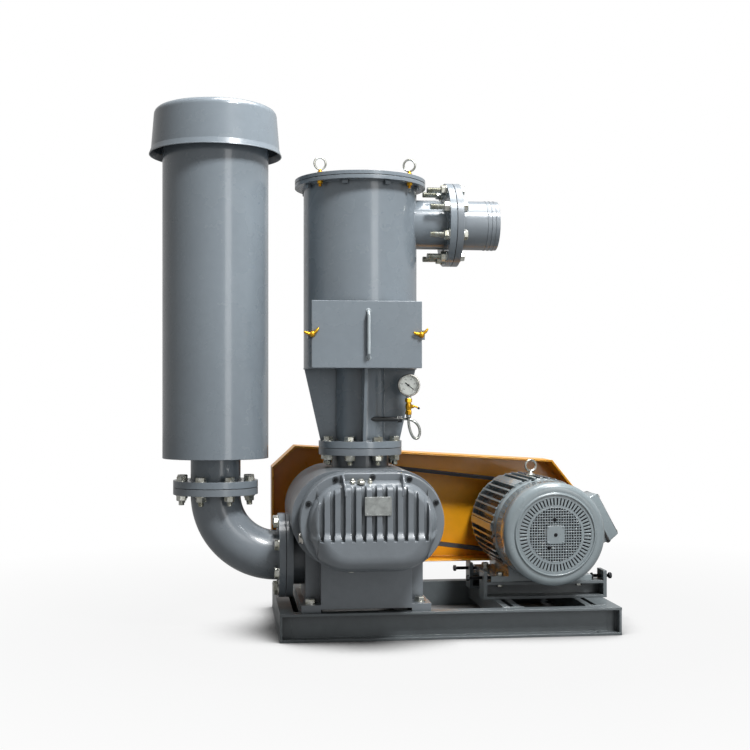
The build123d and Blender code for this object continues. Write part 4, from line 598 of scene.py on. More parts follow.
def coverForm(g=gearCover):
    # a grid of heights inside the flange's outline, with its side wall and back
    reach = g["span"] / 2 + g["flange"]
    steps, rows = int(2 * reach / g["columns"]), g["rows"]
    verts, faces = [], []
    for i in range(steps + 1):
        u = -reach + 0.3 + (2 * reach - 0.6) * i / steps
        top = math.sqrt(max(g["flange"] ** 2 - max(abs(u) - g["span"] / 2, 0) ** 2, 0.01))
        for j in range(rows + 1):
            share = 2 * j / rows - 1
            if abs(u) > g["span"] / 2 + 100:    # closer rows towards the round ends
                share = math.sin(math.pi / 2 * share * 0.999)
            verts.append((u, top * share, coverHeight(u, top * share)))
    for i in range(steps):
        for j in range(rows):
            a = i * (rows + 1) + j
            faces.append([a, a + rows + 1, a + rows + 2, a + 1])
    rim = [i * (rows + 1) for i in range(steps + 1)] + [steps * (rows + 1) + j for j in range(1, rows + 1)]
    rim += [i * (rows + 1) + rows for i in range(steps - 1, -1, -1)] + [j for j in range(rows - 1, 0, -1)]
    first, count = len(verts), len(rim)
    verts += [(verts[k][0], verts[k][1], 0.4) for k in rim]
    for k in range(count):
        n = (k + 1) % count
        faces.append([first + k, first + n, rim[n], rim[k]])
    faces.append([first + k for k in range(count)][::-1])
    return verts, faces


cover = newBook()
add(cover, coverForm(), (pumpX, gearCover["seat"], gearCover["z"]), front)
piece(cover, "gearCoverCasting", "skid", ["pump_paint"], ["gear_cover"], sharp=50)

coverScrews = dict(
    size=13.0, high=6.0, socket=7.0, deep=3.0, chamfer=0.8, washer=18.8, washerHole=16.4, washerHigh=0.8,
    circle=139.0, angles=(25, 72, 108, 155), seat=-478.0,
)
outer, inner, high = coverScrews["size"] / 2, coverScrews["socket"] / 2, coverScrews["high"]
deep, chamfer = coverScrews["deep"], coverScrews["chamfer"]
socketScrew = [(0, deep), (inner, deep), (inner, high)]
socketScrew += [(outer - chamfer, high), (outer, high - chamfer), (outer, 0)]
outer, inner, high = coverScrews["washer"] / 2, coverScrews["washerHole"] / 2, coverScrews["washerHigh"]
screwWasher = [(outer, 0), (outer, high), (inner, high), (inner, 0)]
spots = []
for degrees in coverScrews["angles"]:
    u, v = polar(coverScrews["circle"], degrees)
    spots.append((math.copysign(gearCover["span"] / 2, u) + u, v))
screws = newBook()
for u, v in spots + [(0, coverScrews["circle"])]:
    for profile in (socketScrew, screwWasher):
        add(screws, turned(profile, 18), (pumpX + u, coverScrews["seat"], gearCover["z"] + v), front)
piece(screws, "coverScrews", "skid", ["dark_screws"], ["cover_screws"])

namePlate = dict(
    spot=(-269, -530.5, 448), wide=82.0, high=57.0, thick=1.2, corner=3, border=7, rivet=2.2, rivetIn=5,
)
wide, high, thick, border = [namePlate[key] for key in ("wide", "high", "thick", "border")]
plate = newBook()
add(plate, slab(roundBox(wide, high, namePlate["corner"]), thick, 0.4), namePlate["spot"], front)
raised = [(x, y, thick) for x, y in roundBox(wide - border, high - border, 2)]
add(plate, tube(raised, 0.45, 6, closed=True), namePlate["spot"], front)
rivet = [(namePlate["rivet"], 0), (namePlate["rivet"] * 0.8, 1.0), (0, 1.5)]
for dx, dz in corners(wide / 2 - namePlate["rivetIn"], high / 2 - namePlate["rivetIn"]):
    add(plate, turned(rivet, 12), Vector(namePlate["spot"]) + Vector((dx, -thick, dz)), front)
piece(plate, "namePlate", "skid", ["plate_aluminium"], ["nameplate"])

# ---- small fittings of the gear case
oilPlugs = dict(
    fillers=((-318, -498, 24), (-344, -494, 17), (-290, -494, 14)),    # x, y, across flats
    seat=515.0, head=9.0, lean=(0, -0.15, 1), turn=12,
    drain=(-342, -430, 246.5), drainFlats=22.0, drainHead=12.0,
)
plugs = newBook()
for x, y, flats in oilPlugs["fillers"]:
    add(plugs, hexForm(flats, oilPlugs["head"]), (x, y, oilPlugs["seat"]), oilPlugs["lean"], oilPlugs["turn"])
    pip = [(flats * 0.36, 0), (flats * 0.36, 4), (flats * 0.2, 6), (0, 6)]
    add(plugs, turned(pip, 14), (x, y - 1, oilPlugs["seat"] + oilPlugs["head"]), oilPlugs["lean"])
add(plugs, hexForm(oilPlugs["drainFlats"], oilPlugs["drainHead"]), oilPlugs["drain"], down)
add(plugs, turned([(15, 0), (15, 3), (11, 4)], 20), oilPlugs["drain"], down)
piece(plugs, "oilPlugs", "skid", ["zinc_fasteners"], ["oil_plugs"])

sightGlass = dict(rim=(-494, -420, 342), nut=(-492, -420, 342))
sight = newBook()
sightRim = [(13, 0), (17, 0), (17, 9), (15, 11), (11.5, 11), (11.5, 6), (0, 6)]
add(sight, turned(sightRim, 28), sightGlass["rim"], left)
add(sight, turned([(19.5, 0), (19.5, 4), (17, 5)], 6), sightGlass["nut"], left)
piece(sight, "oilSightGlass", "skid", ["gauge_steel"], ["oil_sight_glass"])
print("gear case dressed")

# ---- weld beads on the pipe work
pipeBead = (83.5, 5)    # radius of the ring, width of the bead
weldRings = (
    ((-557, pipeY, 252), left, pipeBead),
    ((silencerX, pipeY, 458.6), down, pipeBead), ((silencerX, pipeY, 504.6), up, pipeBead),
    ((silencerX, pipeY, 578.6), down, pipeBead), ((pumpX, pipeY, 634), up, pipeBead),
    ((6, pipeY, inletZ), left, pipeBead), ((52, pipeY, inletZ), right, pipeBead),
    ((pumpX, pipeY, 1481), down, (191.5, 4)), ((silencerX, pipeY, 580), down, (173, 3)),
    ((pumpX, pipeY, 876), down, (189, 4)),
)
shellSeams = dict(
    width=5.0, steps=120,
    # x, foot, top, radius, degrees
    lines=((silencerX, 590, 1655, 175.4, 150), (pumpX, 880, 1478, 191.0, 100)),
)
beads = newBook()
for spot, axis, (radius, size) in weldRings:
    seam(beads, Vector(spot) + Vector(axis) * 0.6, axis, radius, size)
steps = shellSeams["steps"]
ripple = [shellSeams["width"] / 2 * (0.9 + 0.15 * (i % 2)) for i in range(steps + 1)]
for x, low, high, radius, degrees in shellSeams["lines"]:
    dx, dy = polar(radius, degrees)
    points = [(x + dx, pipeY + dy, low + (high - low) * i / steps) for i in range(steps + 1)]
    add(beads, tube(points, ripple, 8))
piece(beads, "weldBeads", "skid", ["drum_paint"])

# ---- filter lid fittings
lidEye = dict(circle=414.0, ring=45.0, wire=7.0, seat=1507.0, neck=8.0, turns=(20, -30, 12, -18),
              nutSeat=1481.0, nutFlats=17.0, nutHigh=9.0, thread=11.0, tail=9.0)
lidCollar = [(9.5, 0), (9.5, 3), (6.5, 5), (5.0, 10), (4.0, 13), (0, 13)]
eyes, collars = newBook(), newBook()
eyeRing = ringOf((lidEye["ring"] - lidEye["wire"]) / 2, 36)
centre = lidEye["seat"] + lidEye["neck"] + lidEye["ring"] / 2
for i, turn in enumerate(lidEye["turns"]):
    dx, dy = polar(lidEye["circle"] / 2, 45 + 90 * i)
    x, y = pumpX + dx, pipeY + dy
    c, s = polar(1, turn)
    ring = [(x + u * c, y + u * s, centre + v) for u, v, _ in eyeRing]
    add(eyes, tube(ring, lidEye["wire"] / 2, 10, closed=True))
    add(collars, turned(lidCollar, 20), (x, y, lidEye["seat"]))
    add(collars, hexForm(lidEye["nutFlats"], lidEye["nutHigh"]), (x, y, lidEye["nutSeat"]), down, 10 * i)
    tailTop = (x, y, lidEye["nutSeat"] - lidEye["nutHigh"])
    add(collars, threadForm(lidEye["thread"], lidEye["tail"]), tailTop, down)
piece(eyes, "lidRings", "skid", ["zinc_fasteners"], ["lid_eyebolts"])
piece(collars, "lidCollars", "skid", ["brass_fittings"])

lugLook = dict(
    angles=(205, 250, 290, 335, 20, 65, 110, 155), radius=200.0, seat=1468.0, wide=18.0, deep=10.0, high=13.0,
)
lugs = newBook()
x, y = lugLook["wide"] / 2, lugLook["deep"] / 2
lug = slab(oblong(-x, -y, x, y), lugLook["high"], 1.5)
for degrees in lugLook["angles"]:
    dx, dy = polar(lugLook["radius"], degrees)
    add(lugs, lug, (pumpX + dx, pipeY + dy, lugLook["seat"]), up, degrees + 90)
piece(lugs, "ringLugs", "skid", ["drum_paint"])

# ---- door, handle, wing bolts
door = dict(
    z=981, front=-329.3, skin=-323.3, wide=356.0, high=216.0, thick=6.0,
    stepWide=326.0, stepHigh=186.0, stepDeep=4.4,    # the step at the back, inside the seal
)
outerLeaf = slab(roundBox(door["wide"], door["high"], 3), door["thick"], 1.2)
innerLeaf = slab(roundBox(door["stepWide"], door["stepHigh"], 6), door["stepDeep"], 0.6)
leaf = newBook()
add(leaf, outerLeaf, (pumpX, door["skin"], door["z"]), front)
add(leaf, innerLeaf, (pumpX, door["skin"] + door["stepDeep"], door["z"]), front)
piece(leaf, "doorLeaf", "door", ["drum_paint"], ["access_door"])

handleLook = dict(x=-276, half=75.0, rise=28.0, wire=5.6, bend=16.0)
x, near, far = handleLook["x"], door["front"] + 0.5, door["front"] - handleLook["rise"]
low, high = door["z"] - handleLook["half"], door["z"] + handleLook["half"]
grip = bent([(x, near, low), (x, far, low), (x, far, high), (x, near, high)], handleLook["bend"])
bar = newBook()
add(bar, tube(grip, handleLook["wire"], 18))
for z in (low, high):
    add(bar, turned([(9, 0), (8.5, 1.5), (6, 3)], 20), (x, door["front"], z), front)
piece(bar, "doorHandle", "door", ["handle_paint"], ["door_handle"])

wingLook = dict(
    hub=[(4.6, -22), (4.6, 0), (10.5, 0), (10.5, 2), (9, 5), (7.4, 11), (6.0, 13), (0, 13)],
    root=6.0, reach=16.5, rootHigh=3.0, rise=9.0, curve=1.6, tilt=15,
    beads=9, thick=4.6, taper=1.2, swell=1.2,
)


def wingBolt(name, x, node, body, w=wingLook):
    # round hub, two wings drawn out to rounded tips, shank through the door
    bolt = newBook()
    seat = door["front"] - 0.3
    add(bolt, turned(w["hub"], 24), (x, seat, door["z"]), front)
    c, s = polar(1, w["tilt"])
    for side in (-1, 1):
        for k in range(w["beads"]):
            t = k / (w["beads"] - 1)
            u, v = side * (w["root"] + w["reach"] * t), w["rootHigh"] + w["rise"] * t ** w["curve"]
            spot = (x + u * c - v * s, seat - 6.5 - 1.5 * t, door["z"] + u * s + v * c)
            size = w["thick"] - w["taper"] * t + w["swell"] * math.sin(math.pi * t)
            bead = [(0, -size), (size * 0.75, -size * 0.6), (size, 0), (size * 0.75, size * 0.6), (0, size)]
            add(bolt, turned(bead, 10), spot, (0.2, -1, 0))
    piece(bolt, name, body, ["brass_fittings"], [node], sharp=60)


wingBolt("leftWingBolt", -456, "wing_bolt_left", "left_wing_bolt")
wingBolt("rightWingBolt", -104, "wing_bolt_right", "right_wing_bolt")
print("filter dressed")

# ---- motor: hood, grille, pads, eyebolt, terminal box
motor = dict(
    x=345.0, z=328.0, hoodRear=-136.0, hoodLength=174.0, hood=171.0, shoulder=22.0, sheet=2.5,
    lip=136.0, lipInner=130.5, groove=1.6,
)


def onMotor(radius, degrees, y):
    # a place at this radius from the motor's axis, and the direction outwards
    dx, dz = polar(1, degrees)
    return (motor["x"] + radius * dx, y, motor["z"] + radius * dz), (dx, 0, dz)


outer, inner = motor["hood"], motor["hood"] - motor["sheet"]
faceAt, cornerAt = motor["hoodLength"] - motor["shoulder"], motor["hood"] - motor["shoulder"]
lip, lipInner = motor["lip"], motor["lipInner"]
hoodProfile = [(inner, 0), (outer, 0), (outer, 38)]
hoodProfile += [(outer - motor["groove"], 40), (outer - motor["groove"], 45), (outer, 47)]
hoodProfile += arc(cornerAt, faceAt, motor["shoulder"], 0, 90, 9)
hoodProfile += [(lip + 3, 173.4), (lip + 0.8, 176), (lip - 1, 178.6), (lipInner + 1.4, 178.6)]
hoodProfile += [(lipInner, 177), (lipInner, 169)]
hoodProfile += arc(cornerAt, faceAt, motor["shoulder"] - motor["sheet"], 90, 0, 7) + [(inner, 0)]
hood = newBook()
add(hood, turned(hoodProfile, 96), (motor["x"], motor["hoodRear"], motor["z"]), front)
piece(hood, "fanHood", "motor", ["motor_paint"], ["fan_cowl"], sharp=40)

grille = dict(
    front=-308.5, sheet=1.5, meshReach=90.0, pitch=8.8, wire=2.7, slots=60, slotHalf=2.1, slotInner=97.0,
    slotOuter=121.0, rim=131.0, plate=60.0, plateThick=1.8, rivetAt=25,
)
grilleFace = (motor["x"], grille["front"], motor["z"])
sheet, slots = grille["sheet"], grille["slots"]
mesh = newBook()
rows = int(grille["meshReach"] / grille["pitch"])
for k in range(-rows, rows + 1):
    across, half = k * grille["pitch"], grille["wire"] / 2
    along = math.sqrt(grille["meshReach"] ** 2 - across ** 2)
    wire = slab(oblong(-along, across - half, along, across + half), sheet, 0.3)
    for spin, lift in ((0, 0.0), (90, 0.25)):
        add(mesh, wire, (motor["x"], grille["front"] - lift, motor["z"]), front, spin)
for low, high in ((grille["meshReach"] - 1.5, grille["slotInner"]), (grille["slotOuter"], grille["rim"])):
    add(mesh, turned([(low, 0), (high, 0), (high, sheet), (low, sheet), (low, 0)], 72), grilleFace, front)
narrow, wide = [math.pi * grille[key] / slots - grille["slotHalf"] for key in ("slotInner", "slotOuter")]
low, high = grille["slotInner"] - 0.5, grille["slotOuter"] + 0.5
spoke = slab([(low, -narrow), (high, -wide), (high, wide), (low, narrow)], sheet)
for i in range(slots):
    add(mesh, spoke, grilleFace, front, 360 * i / slots)
plateFront, rivetAt = grille["front"] - sheet, grille["rivetAt"]
plate = slab(roundBox(grille["plate"], grille["plate"], 4), grille["plateThick"], 0.5)
add(mesh, plate, (motor["x"], plateFront, motor["z"]), front)
for dx, dz in corners(rivetAt, rivetAt):
    spot = (motor["x"] + dx, plateFront - grille["plateThick"], motor["z"] + dz)
    add(mesh, turned([(3.2, 0), (3.0, 1.2), (0, 2.0)], 14), spot, front)
piece(mesh, "hoodGrille", "motor", ["motor_paint"])

hoodScrew = dict(
    faces=((0, 1.8, 0), (-3, 0.4, 50), (-22, 0.4, -42)),    # across, how far in front, up
    rims=(12, 102, 186, 282), rimRadius=170.6, rimY=-154.0, thread=7.0, flats=10.0, high=5.0,
)
panHead = [(6.0, 0), (6.0, 1.2), (4.6, 2.6), (2.2, 3.0), (2.2, 1.6), (0, 1.6)]
hoodScrews = newBook()
for dx, lift, dz in hoodScrew["faces"]:
    add(hoodScrews, turned(panHead, 16), (motor["x"] + dx, plateFront - lift, motor["z"] + dz), front)
for degrees in hoodScrew["rims"]:
    spot, radial = onMotor(hoodScrew["rimRadius"], degrees, hoodScrew["rimY"])
    add(hoodScrews, washerForm(hoodScrew["thread"]), spot, radial)
    add(hoodScrews, hexForm(hoodScrew["flats"], hoodScrew["high"]), spot, radial, 20)
piece(hoodScrews, "hoodScrews", "motor", ["dark_screws"])

framePad = dict(
    pads=((117, 30), (178, 26), (63, 22)), radius=168.0, y=38.0, long=330.0, thick=10.4,    # degrees, width
    bands=((-132, (0, 1, 0)), (214, front)), bandInner=151.0, bandOuter=173.0, bandWide=6.0,
)
pads = newBook()
for degrees, wide in framePad["pads"]:
    spot, radial = onMotor(framePad["radius"], degrees, framePad["y"])
    add(pads, slab(roundBox(framePad["long"], wide, 4), framePad["thick"], 1.4), spot, radial)
inner, outer, wide = framePad["bandInner"], framePad["bandOuter"], framePad["bandWide"]
endBand = [(inner, 0), (outer - 1.5, 0), (outer, 1.2), (outer, wide - 1.2)]
endBand += [(outer - 1.5, wide), (inner, wide), (inner, 0)]
for y, axis in framePad["bands"]:
    add(pads, turned(endBand, 96), (motor["x"], y, motor["z"]), axis)
piece(pads, "framePads", "motor", ["motor_paint"])

motorEye = dict(y=20.0, seat=502.0, ring=47.0, wire=8.0, neck=12.0, lean=0.18, thicker=0.16)
eyeCollar = [(9, -24), (9, 0), (16, 0), (16.5, 2.5), (14, 4.5), (8, 8), (5.6, 13), (4, 16), (0, 16)]
eye = newBook()
mid = (motorEye["ring"] - motorEye["wire"]) / 2
centre = motorEye["seat"] + motorEye["neck"] + motorEye["ring"] / 2
ring = [(motor["x"] + u, motorEye["y"] + motorEye["lean"] * u, centre + v) for u, v, _ in ringOf(mid, 40)]
radii = [motorEye["wire"] / 2 * (1.0 + motorEye["thicker"] * max(0, -v)) for _, v, _ in ringOf(1, 40)]
add(eye, tube(ring, radii, 14, closed=True))
add(eye, turned(eyeCollar, 28), (motor["x"], motorEye["y"], motorEye["seat"]))
piece(eye, "motorEye", "motor", ["zinc_fasteners"], ["motor_eyebolt"])

terminal = dict(
    tilt=28.0, y=-50.0, reach=190.0, offset=70.0, span=176.0, depth=150.0, corner=9.0, lidLift=3.0,
    lid=[(0, 0), (0, 5), (2.5, 6.5), (8, 34), (10.5, 40), (15, 42)],    # inset and height of each level
    seal=7.0, sealOut=1.5, sealIn=6.0, screwIn=20.0,
)
c, s = polar(1, terminal["tilt"])
normal, slope = Vector((c, 0, s)), Vector((s, 0, -c))
axisSpot = Vector((motor["x"], terminal["y"], motor["z"]))
boxSpot = axisSpot + normal * terminal["reach"] + slope * terminal["offset"]
lidSpot = boxSpot + normal * terminal["lidLift"]
outline = roundBox(terminal["depth"], terminal["span"], terminal["corner"])
lid = newBook()
add(lid, lofted(outline, terminal["lid"]), lidSpot, normal)
piece(lid, "terminalLid", "motor", ["motor_paint"], ["terminal_lid"], sharp=30)

edges = [inset(outline, amount) for amount in (-terminal["sealOut"], terminal["sealIn"])]
verts = [(x, y, high) for high in (0, terminal["seal"]) for edge in edges for x, y in edge]
count, faces = len(outline), []
for i in range(count):
    j = (i + 1) % count
    faces += [[i, j, 2 * count + j, 2 * count + i], [count + j, count + i, 3 * count + i, 3 * count + j]]
    faces += [[j, i, count + i, count + j], [2 * count + i, 2 * count + j, 3 * count + j, 3 * count + i]]
band = newBook()
add(band, (verts, faces), boxSpot + normal * (terminal["lidLift"] - terminal["seal"] + 1), normal)
piece(band, "terminalSeal", "motor", ["gasket_sheet"], ["terminal_gasket"], sharp=30)

lidScrew = [(6.4, 41), (6.4, 43.4), (4.8, 44.6), (2.0, 44.8), (2.0, 43.6), (0, 43.6)]
lidScrews = newBook()
halfDeep, halfSpan = [terminal[key] / 2 - terminal["screwIn"] for key in ("depth", "span")]
for along, fall in corners(halfDeep, halfSpan):
    add(lidScrews, turned(lidScrew, 16), lidSpot + Vector((0, along, 0)) + slope * fall, normal)
piece(lidScrews, "lidScrews", "motor", ["zinc_fasteners"])
print("motor dressed")


# ---- foot bolts and adjusting screws
def addPin(book, spot, radius, length, sides):
    # a plain shank that stands on its spot, closed at the top
    add(book, turned([(radius, 0), (radius, length), (0, length)], sides), spot)


footBolt = dict(
    x=(-458, -102), fromEnd=15.0, seat=114.0, size=20.0, flats=30.0, shank=33.0,
    nutSeat=82.0, nutHigh=15.0, tail=7.0,
)
lowSpot, highSpot = [[c * 1000 for c in corner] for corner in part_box("pump_foot_bolts")]
footBolts = newBook()
for x in footBolt["x"]:
    for y in (lowSpot[1] + footBolt["fromEnd"], highSpot[1] - footBolt["fromEnd"]):
        addBolt(footBolts, (x, y, footBolt["seat"]), up, footBolt["size"], footBolt["flats"], 17)
        pinFoot = (x, y, footBolt["seat"] - footBolt["shank"])
        addPin(footBolts, pinFoot, footBolt["size"] / 2, footBolt["shank"], 18)
        add(footBolts, hexForm(footBolt["flats"], footBolt["nutHigh"]), (x, y, footBolt["nutSeat"]), down, 8)
        tailTop = (x, y, footBolt["nutSeat"] - footBolt["nutHigh"])
        add(footBolts, threadForm(footBolt["size"], footBolt["tail"]), tailTop, down)
piece(footBolts, "pumpFootBolts", "skid", ["zinc_fasteners"], ["pump_foot_bolts"])

rails = dict(
    rows=(-100.0, 141.0), z=160.0, foot=176.5, screw=12.0, flats=18.5, length=72.0,
    headHigh=8.0, lockNut=7.5, lockGap=6.2,
    boltX=139.5, boltSeat=168.0, bolt=14.0, boltFlats=22.0, shank=29.0, nutSeat=138.6, nutHigh=11.0,
)
motorBolts, adjusters = newBook(), newBook()
for y in rails["rows"]:
    for side in (-1, 1):
        x = motor["x"] + side * rails["boltX"]
        addBolt(motorBolts, (x, y, rails["boltSeat"]), up, rails["bolt"], rails["boltFlats"], 9 * side)
        addPin(motorBolts, (x, y, rails["boltSeat"] - rails["shank"]), rails["bolt"] / 2, rails["shank"], 16)
        add(motorBolts, hexForm(rails["boltFlats"], rails["nutHigh"]), (x, y, rails["nutSeat"]), down, 14)
        outwards, tip = (side, 0, 0), motor["x"] + side * rails["foot"]
        end = tip + side * rails["length"]
        add(adjusters, threadForm(rails["screw"], rails["length"]), (tip, y, rails["z"]), outwards)
        add(adjusters, hexForm(rails["flats"], rails["headHigh"]), (end, y, rails["z"]), outwards, 12 * side)
        collar = turned([(10.4, 0), (10.4, 1.4), (6, 1.4)], 20)
        add(adjusters, collar, (end - side * 1.4, y, rails["z"]), outwards)
        lockSpot = (tip + side * rails["lockGap"], y, rails["z"])
        add(adjusters, hexForm(rails["flats"], rails["lockNut"]), lockSpot, outwards, 25)
piece(motorBolts, "motorFootBolts", "motor", ["zinc_fasteners"], ["motor_foot_bolts"])
piece(adjusters, "adjustingScrews", "motor", ["dark_screws"], ["adjusting_screws"])

# ---- belts, drawn as one loop each round the pump's and the motor's pulleys
belts = dict(
    pump=(-190.0, 394.0), pumpRadius=137.6, motorRadius=141.6, plane=315.0, pitch=19.0, count=3,
    top=16.2, edge=0.8, deep=12.8, foot=7.6, steps=40,
)


def beltLoop(b=belts):
    # where the belt's back runs, with the outward direction at each point
    px, pz = b["pump"]
    run = Vector((motor["x"] - px, motor["z"] - pz))
    heading = math.degrees(math.atan2(run.y, run.x))
    lean = 90 - math.degrees(math.atan2(b["pumpRadius"] - b["motorRadius"], run.length))
    arcs = (
        (motor["x"], motor["z"], b["motorRadius"], heading - lean, heading + lean),
        (px, pz, b["pumpRadius"], heading + lean, heading - lean + 360),
    )
    loop = []
    for (x, z, radius, start, end), (nextX, nextZ, nextRadius, nextStart, _) in (arcs, arcs[::-1]):
        for i in range(b["steps"] + 1):
            dx, dz = outward = polar(1, start + (end - start) * i / b["steps"])
            loop.append(((x + radius * dx, z + radius * dz), outward))
        awayX, awayZ = loop[-1][0]
        dx, dz = polar(nextRadius, nextStart)
        goalX, goalZ = nextX + dx, nextZ + dz
        for i in range(1, b["steps"]):
            t = i / b["steps"]
            loop.append(((awayX + (goalX - awayX) * t, awayZ + (goalZ - awayZ) * t), outward))
    return loop


half, edge, foot, deep = belts["top"] / 2, belts["edge"], belts["foot"] / 2, belts["deep"]
section = [(-half, -edge), (-half + edge, 0), (half - edge, 0), (half, -edge), (foot, -deep), (-foot, -deep)]
loop, sides = beltLoop(), len(section)
beltBook = newBook()
for index in range(belts["count"]):
    y = belts["plane"] + (index - (belts["count"] - 1) / 2) * belts["pitch"]
    verts = []
    for (x, z), (ox, oz) in loop:
        verts += [(x + ox * rise, y + across, z + oz * rise) for across, rise in section]
    faces = []
    for i in range(len(loop)):
        a, b = i * sides, (i + 1) % len(loop) * sides
        faces += [[a + k, b + k, b + (k + 1) % sides, a + (k + 1) % sides] for k in range(sides)]
    add(beltBook, (verts, faces))
beltObject = shown(beltBook, "driveBelts", ["belt_rubber"], 25)
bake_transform(beltObject)
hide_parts("v_belts")
print("drive belts run")

# ---- vacuum gauge, siphon and cock
gauge = dict(
    x=-127.0, y=-202.0, z=819.5, back=-187.0, dial=32.4, dialLift=8.0, dialThick=0.5, lensY=-212.6,
    start=-129.0, sweep=258.0, marks=50, markReach=29.2, needleY=-198.4, needleRest=129.0,
    numbers=6, numberReach=20.6, numberStep=20, numberSize=5.6,
    neck=((778, 5), (783, 2)), neckRadius=9.4,    # z and height of the hexagon and of its top
    bezel=[(0, 0), (34.5, 0), (36, 1.5), (36, 20.5), (37.4, 21.5), (37.4, 27.5), (36.2, 29.6), (34, 30),
           (32.9, 28.4), (32.6, 25), (32.6, 8), (0, 8)],
    hand=[(-2.1, -13), (2.1, -13), (1.7, -3), (1.2, 8), (0.5, 24.5), (-0.5, 24.5), (-1.2, 8), (-1.7, -3)],
)


def onGauge(y):
    return gauge["x"], y, gauge["z"]


def dialAngle(share):
    # degrees from the top, clockwise
    return gauge["start"] + gauge["sweep"] * share


case = newBook()
add(case, turned(gauge["bezel"], 64), onGauge(gauge["back"]), front)
for z, high in gauge["neck"]:
    add(case, turned([(gauge["neckRadius"], 0), (gauge["neckRadius"], high)], 6), (gauge["x"], gauge["y"], z))
piece(case, "gaugeBezel", "skid", ["gauge_steel"], ["gauge_case"], sharp=40)

dial, thick = gauge["dial"], gauge["dialThick"]
dialDisc = turned([(0, 0), (dial, 0), (dial, thick), (0, thick)], 64)
dialBook = newBook()
add(dialBook, dialDisc, onGauge(gauge["back"] - gauge["dialLift"]), front)
piece(dialBook, "gaugeDial", "skid", ["dial_enamel"], ["gauge_dial"])

marks = newBook()
markFront, reach = gauge["back"] - gauge["dialLift"] - thick, gauge["markReach"]
for i in range(gauge["marks"] + 1):
    deep = 4.6 if i % 10 == 0 else (3.4 if i % 5 == 0 else 2.0)
    half = 0.42 if i % 5 == 0 else 0.22
    tick = slab(oblong(-half, reach - deep, half, reach), 0.12)
    add(marks, tick, onGauge(markFront), front, -dialAngle(i / gauge["marks"]))
scaleArc = [(*polar(reach + 0.2, 90 - dialAngle(i / 60)), 0.1) for i in range(61)]
add(marks, tube(scaleArc, 0.2, 6), onGauge(markFront), front)
piece(marks, "gaugeMarks", "skid", ["needle_black"])

last = gauge["numbers"] - 1
for i in range(gauge["numbers"]):
    name = "gaugeNumber" + str(i)
    dx, dz = polar(gauge["numberReach"], 90 - dialAngle(i / last))
    digits = bpy.data.curves.new(name, "FONT")
    digits.body = str((last - i) * gauge["numberStep"])
    digits.size, digits.extrude = gauge["numberSize"] * 0.001, 0.00006
    digits.align_x, digits.align_y = "CENTER", "CENTER"
    digits.materials.append(finishes["needle_black"])
    number = bpy.data.objects.new(name, digits)
    number.location = ((gauge["x"] + dx) * 0.001, (markFront - 0.1) * 0.001, (gauge["z"] + dz) * 0.001)
    number.rotation_euler = (math.pi / 2, 0, 0)
    bpy.context.scene.collection.objects.link(number)
    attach(number, "skid")

pointer = newBook()
add(pointer, slab(gauge["hand"], 0.8, 0.2), onGauge(gauge["needleY"]), front, -gauge["needleRest"])
add(pointer, turned([(3.8, 0), (3.8, 1.4), (2.6, 2.2), (0, 2.4)], 24), onGauge(gauge["needleY"]), front)
piece(pointer, "gaugePointer", "needle", ["needle_black"], ["gauge_needle"])
lens = newBook()
add(lens, turned([(0, 0), (dial, 0), (dial, 1.4), (24, 2.0), (0, 2.3)], 64), onGauge(gauge["lensY"]), front)
piece(lens, "gaugeLens", "skid", ["gauge_lens"], ["gauge_glass"], sharp=60)


def smoothRun(points, steps=8):
    # a soft curve through given points
    points = [Vector(p) for p in points]
    padded = [points[0] * 2 - points[1]] + points + [points[-1] * 2 - points[-2]]
    path = []
    for a, b, c, d in zip(padded, padded[1:], padded[2:], padded[3:]):
        first, second, third = c - a, 2 * a - 5 * b + 4 * c - d, 3 * b - a - 3 * c + d
        for s in [i / steps for i in range(steps)]:
            path.append(0.5 * (2 * b + first * s + second * s ** 2 + third * s ** 3))
    return path + [points[-1]]


siphonLook = dict(radius=4.5, top=722, route=(
    (-149, -188, 707), (-128, -188.6, 706.5), (-106, -190, 699), (-91, -193, 681), (-88.4, -196, 659),
    (-96.5, -199, 643.5), (-109, -200.5, 645), (-119, -202, 661), (-125.4, -202, 684), (-127, -202, 704),
    (-127, -202, 723),
))
siphonTop = (gauge["x"], gauge["y"], siphonLook["top"])
siphon = newBook()
add(siphon, tube(smoothRun(siphonLook["route"]), siphonLook["radius"], 16))
add(siphon, turned([(8, 0), (8.6, 2), (8.6, 9), (7, 11), (4.6, 12)], 20), siphonTop, down)
piece(siphon, "siphonPipe", "skid", ["siphon_steel"], ["siphon_loop"])

cockLook = dict(
    body=[(0, 0), (6.5, 0), (6.5, 1), (8.4, 15), (9.2, 18), (11.0, 22), (11.4, 27), (11.0, 32), (9.0, 36),
          (8.2, 40), (8.2, 42)],
    lowHex=(20, 14), highHex=(21, 13), highZ=763,    # across flats, height
    plugZ=749, leverX=-113.6, leverRadius=3.2, grip=[3.4, 3.8, 3.8, 3.7, 3.4, 2.2],
    lever=((-109, -202, 749.5), (-102, -203, 748), (-96, -206, 744.5), (-91.5, -209, 741)),
)
cock = newBook()
add(cock, turned(cockLook["body"], 28), siphonTop)
add(cock, hexForm(*cockLook["lowHex"]), siphonTop, up, 15)
add(cock, hexForm(*cockLook["highHex"]), (gauge["x"], gauge["y"], cockLook["highZ"]), up, 5)
stem = [(9.4, 0), (9.4, 7), (7.6, 9), (6.4, 13)]
add(cock, turned(stem, 24), (gauge["x"], gauge["y"], cockLook["plugZ"]), right)
piece(cock, "gaugeCock", "skid", ["brass_fittings"], ["gauge_cock"])
lever = newBook()
hub = [(5.6, 0), (5.6, 4), (4.4, 5.4), (0, 5.8)]
add(lever, turned(hub, 20), (cockLook["leverX"], gauge["y"], cockLook["plugZ"]), right)
leverPath = smoothRun(cockLook["lever"], 5)
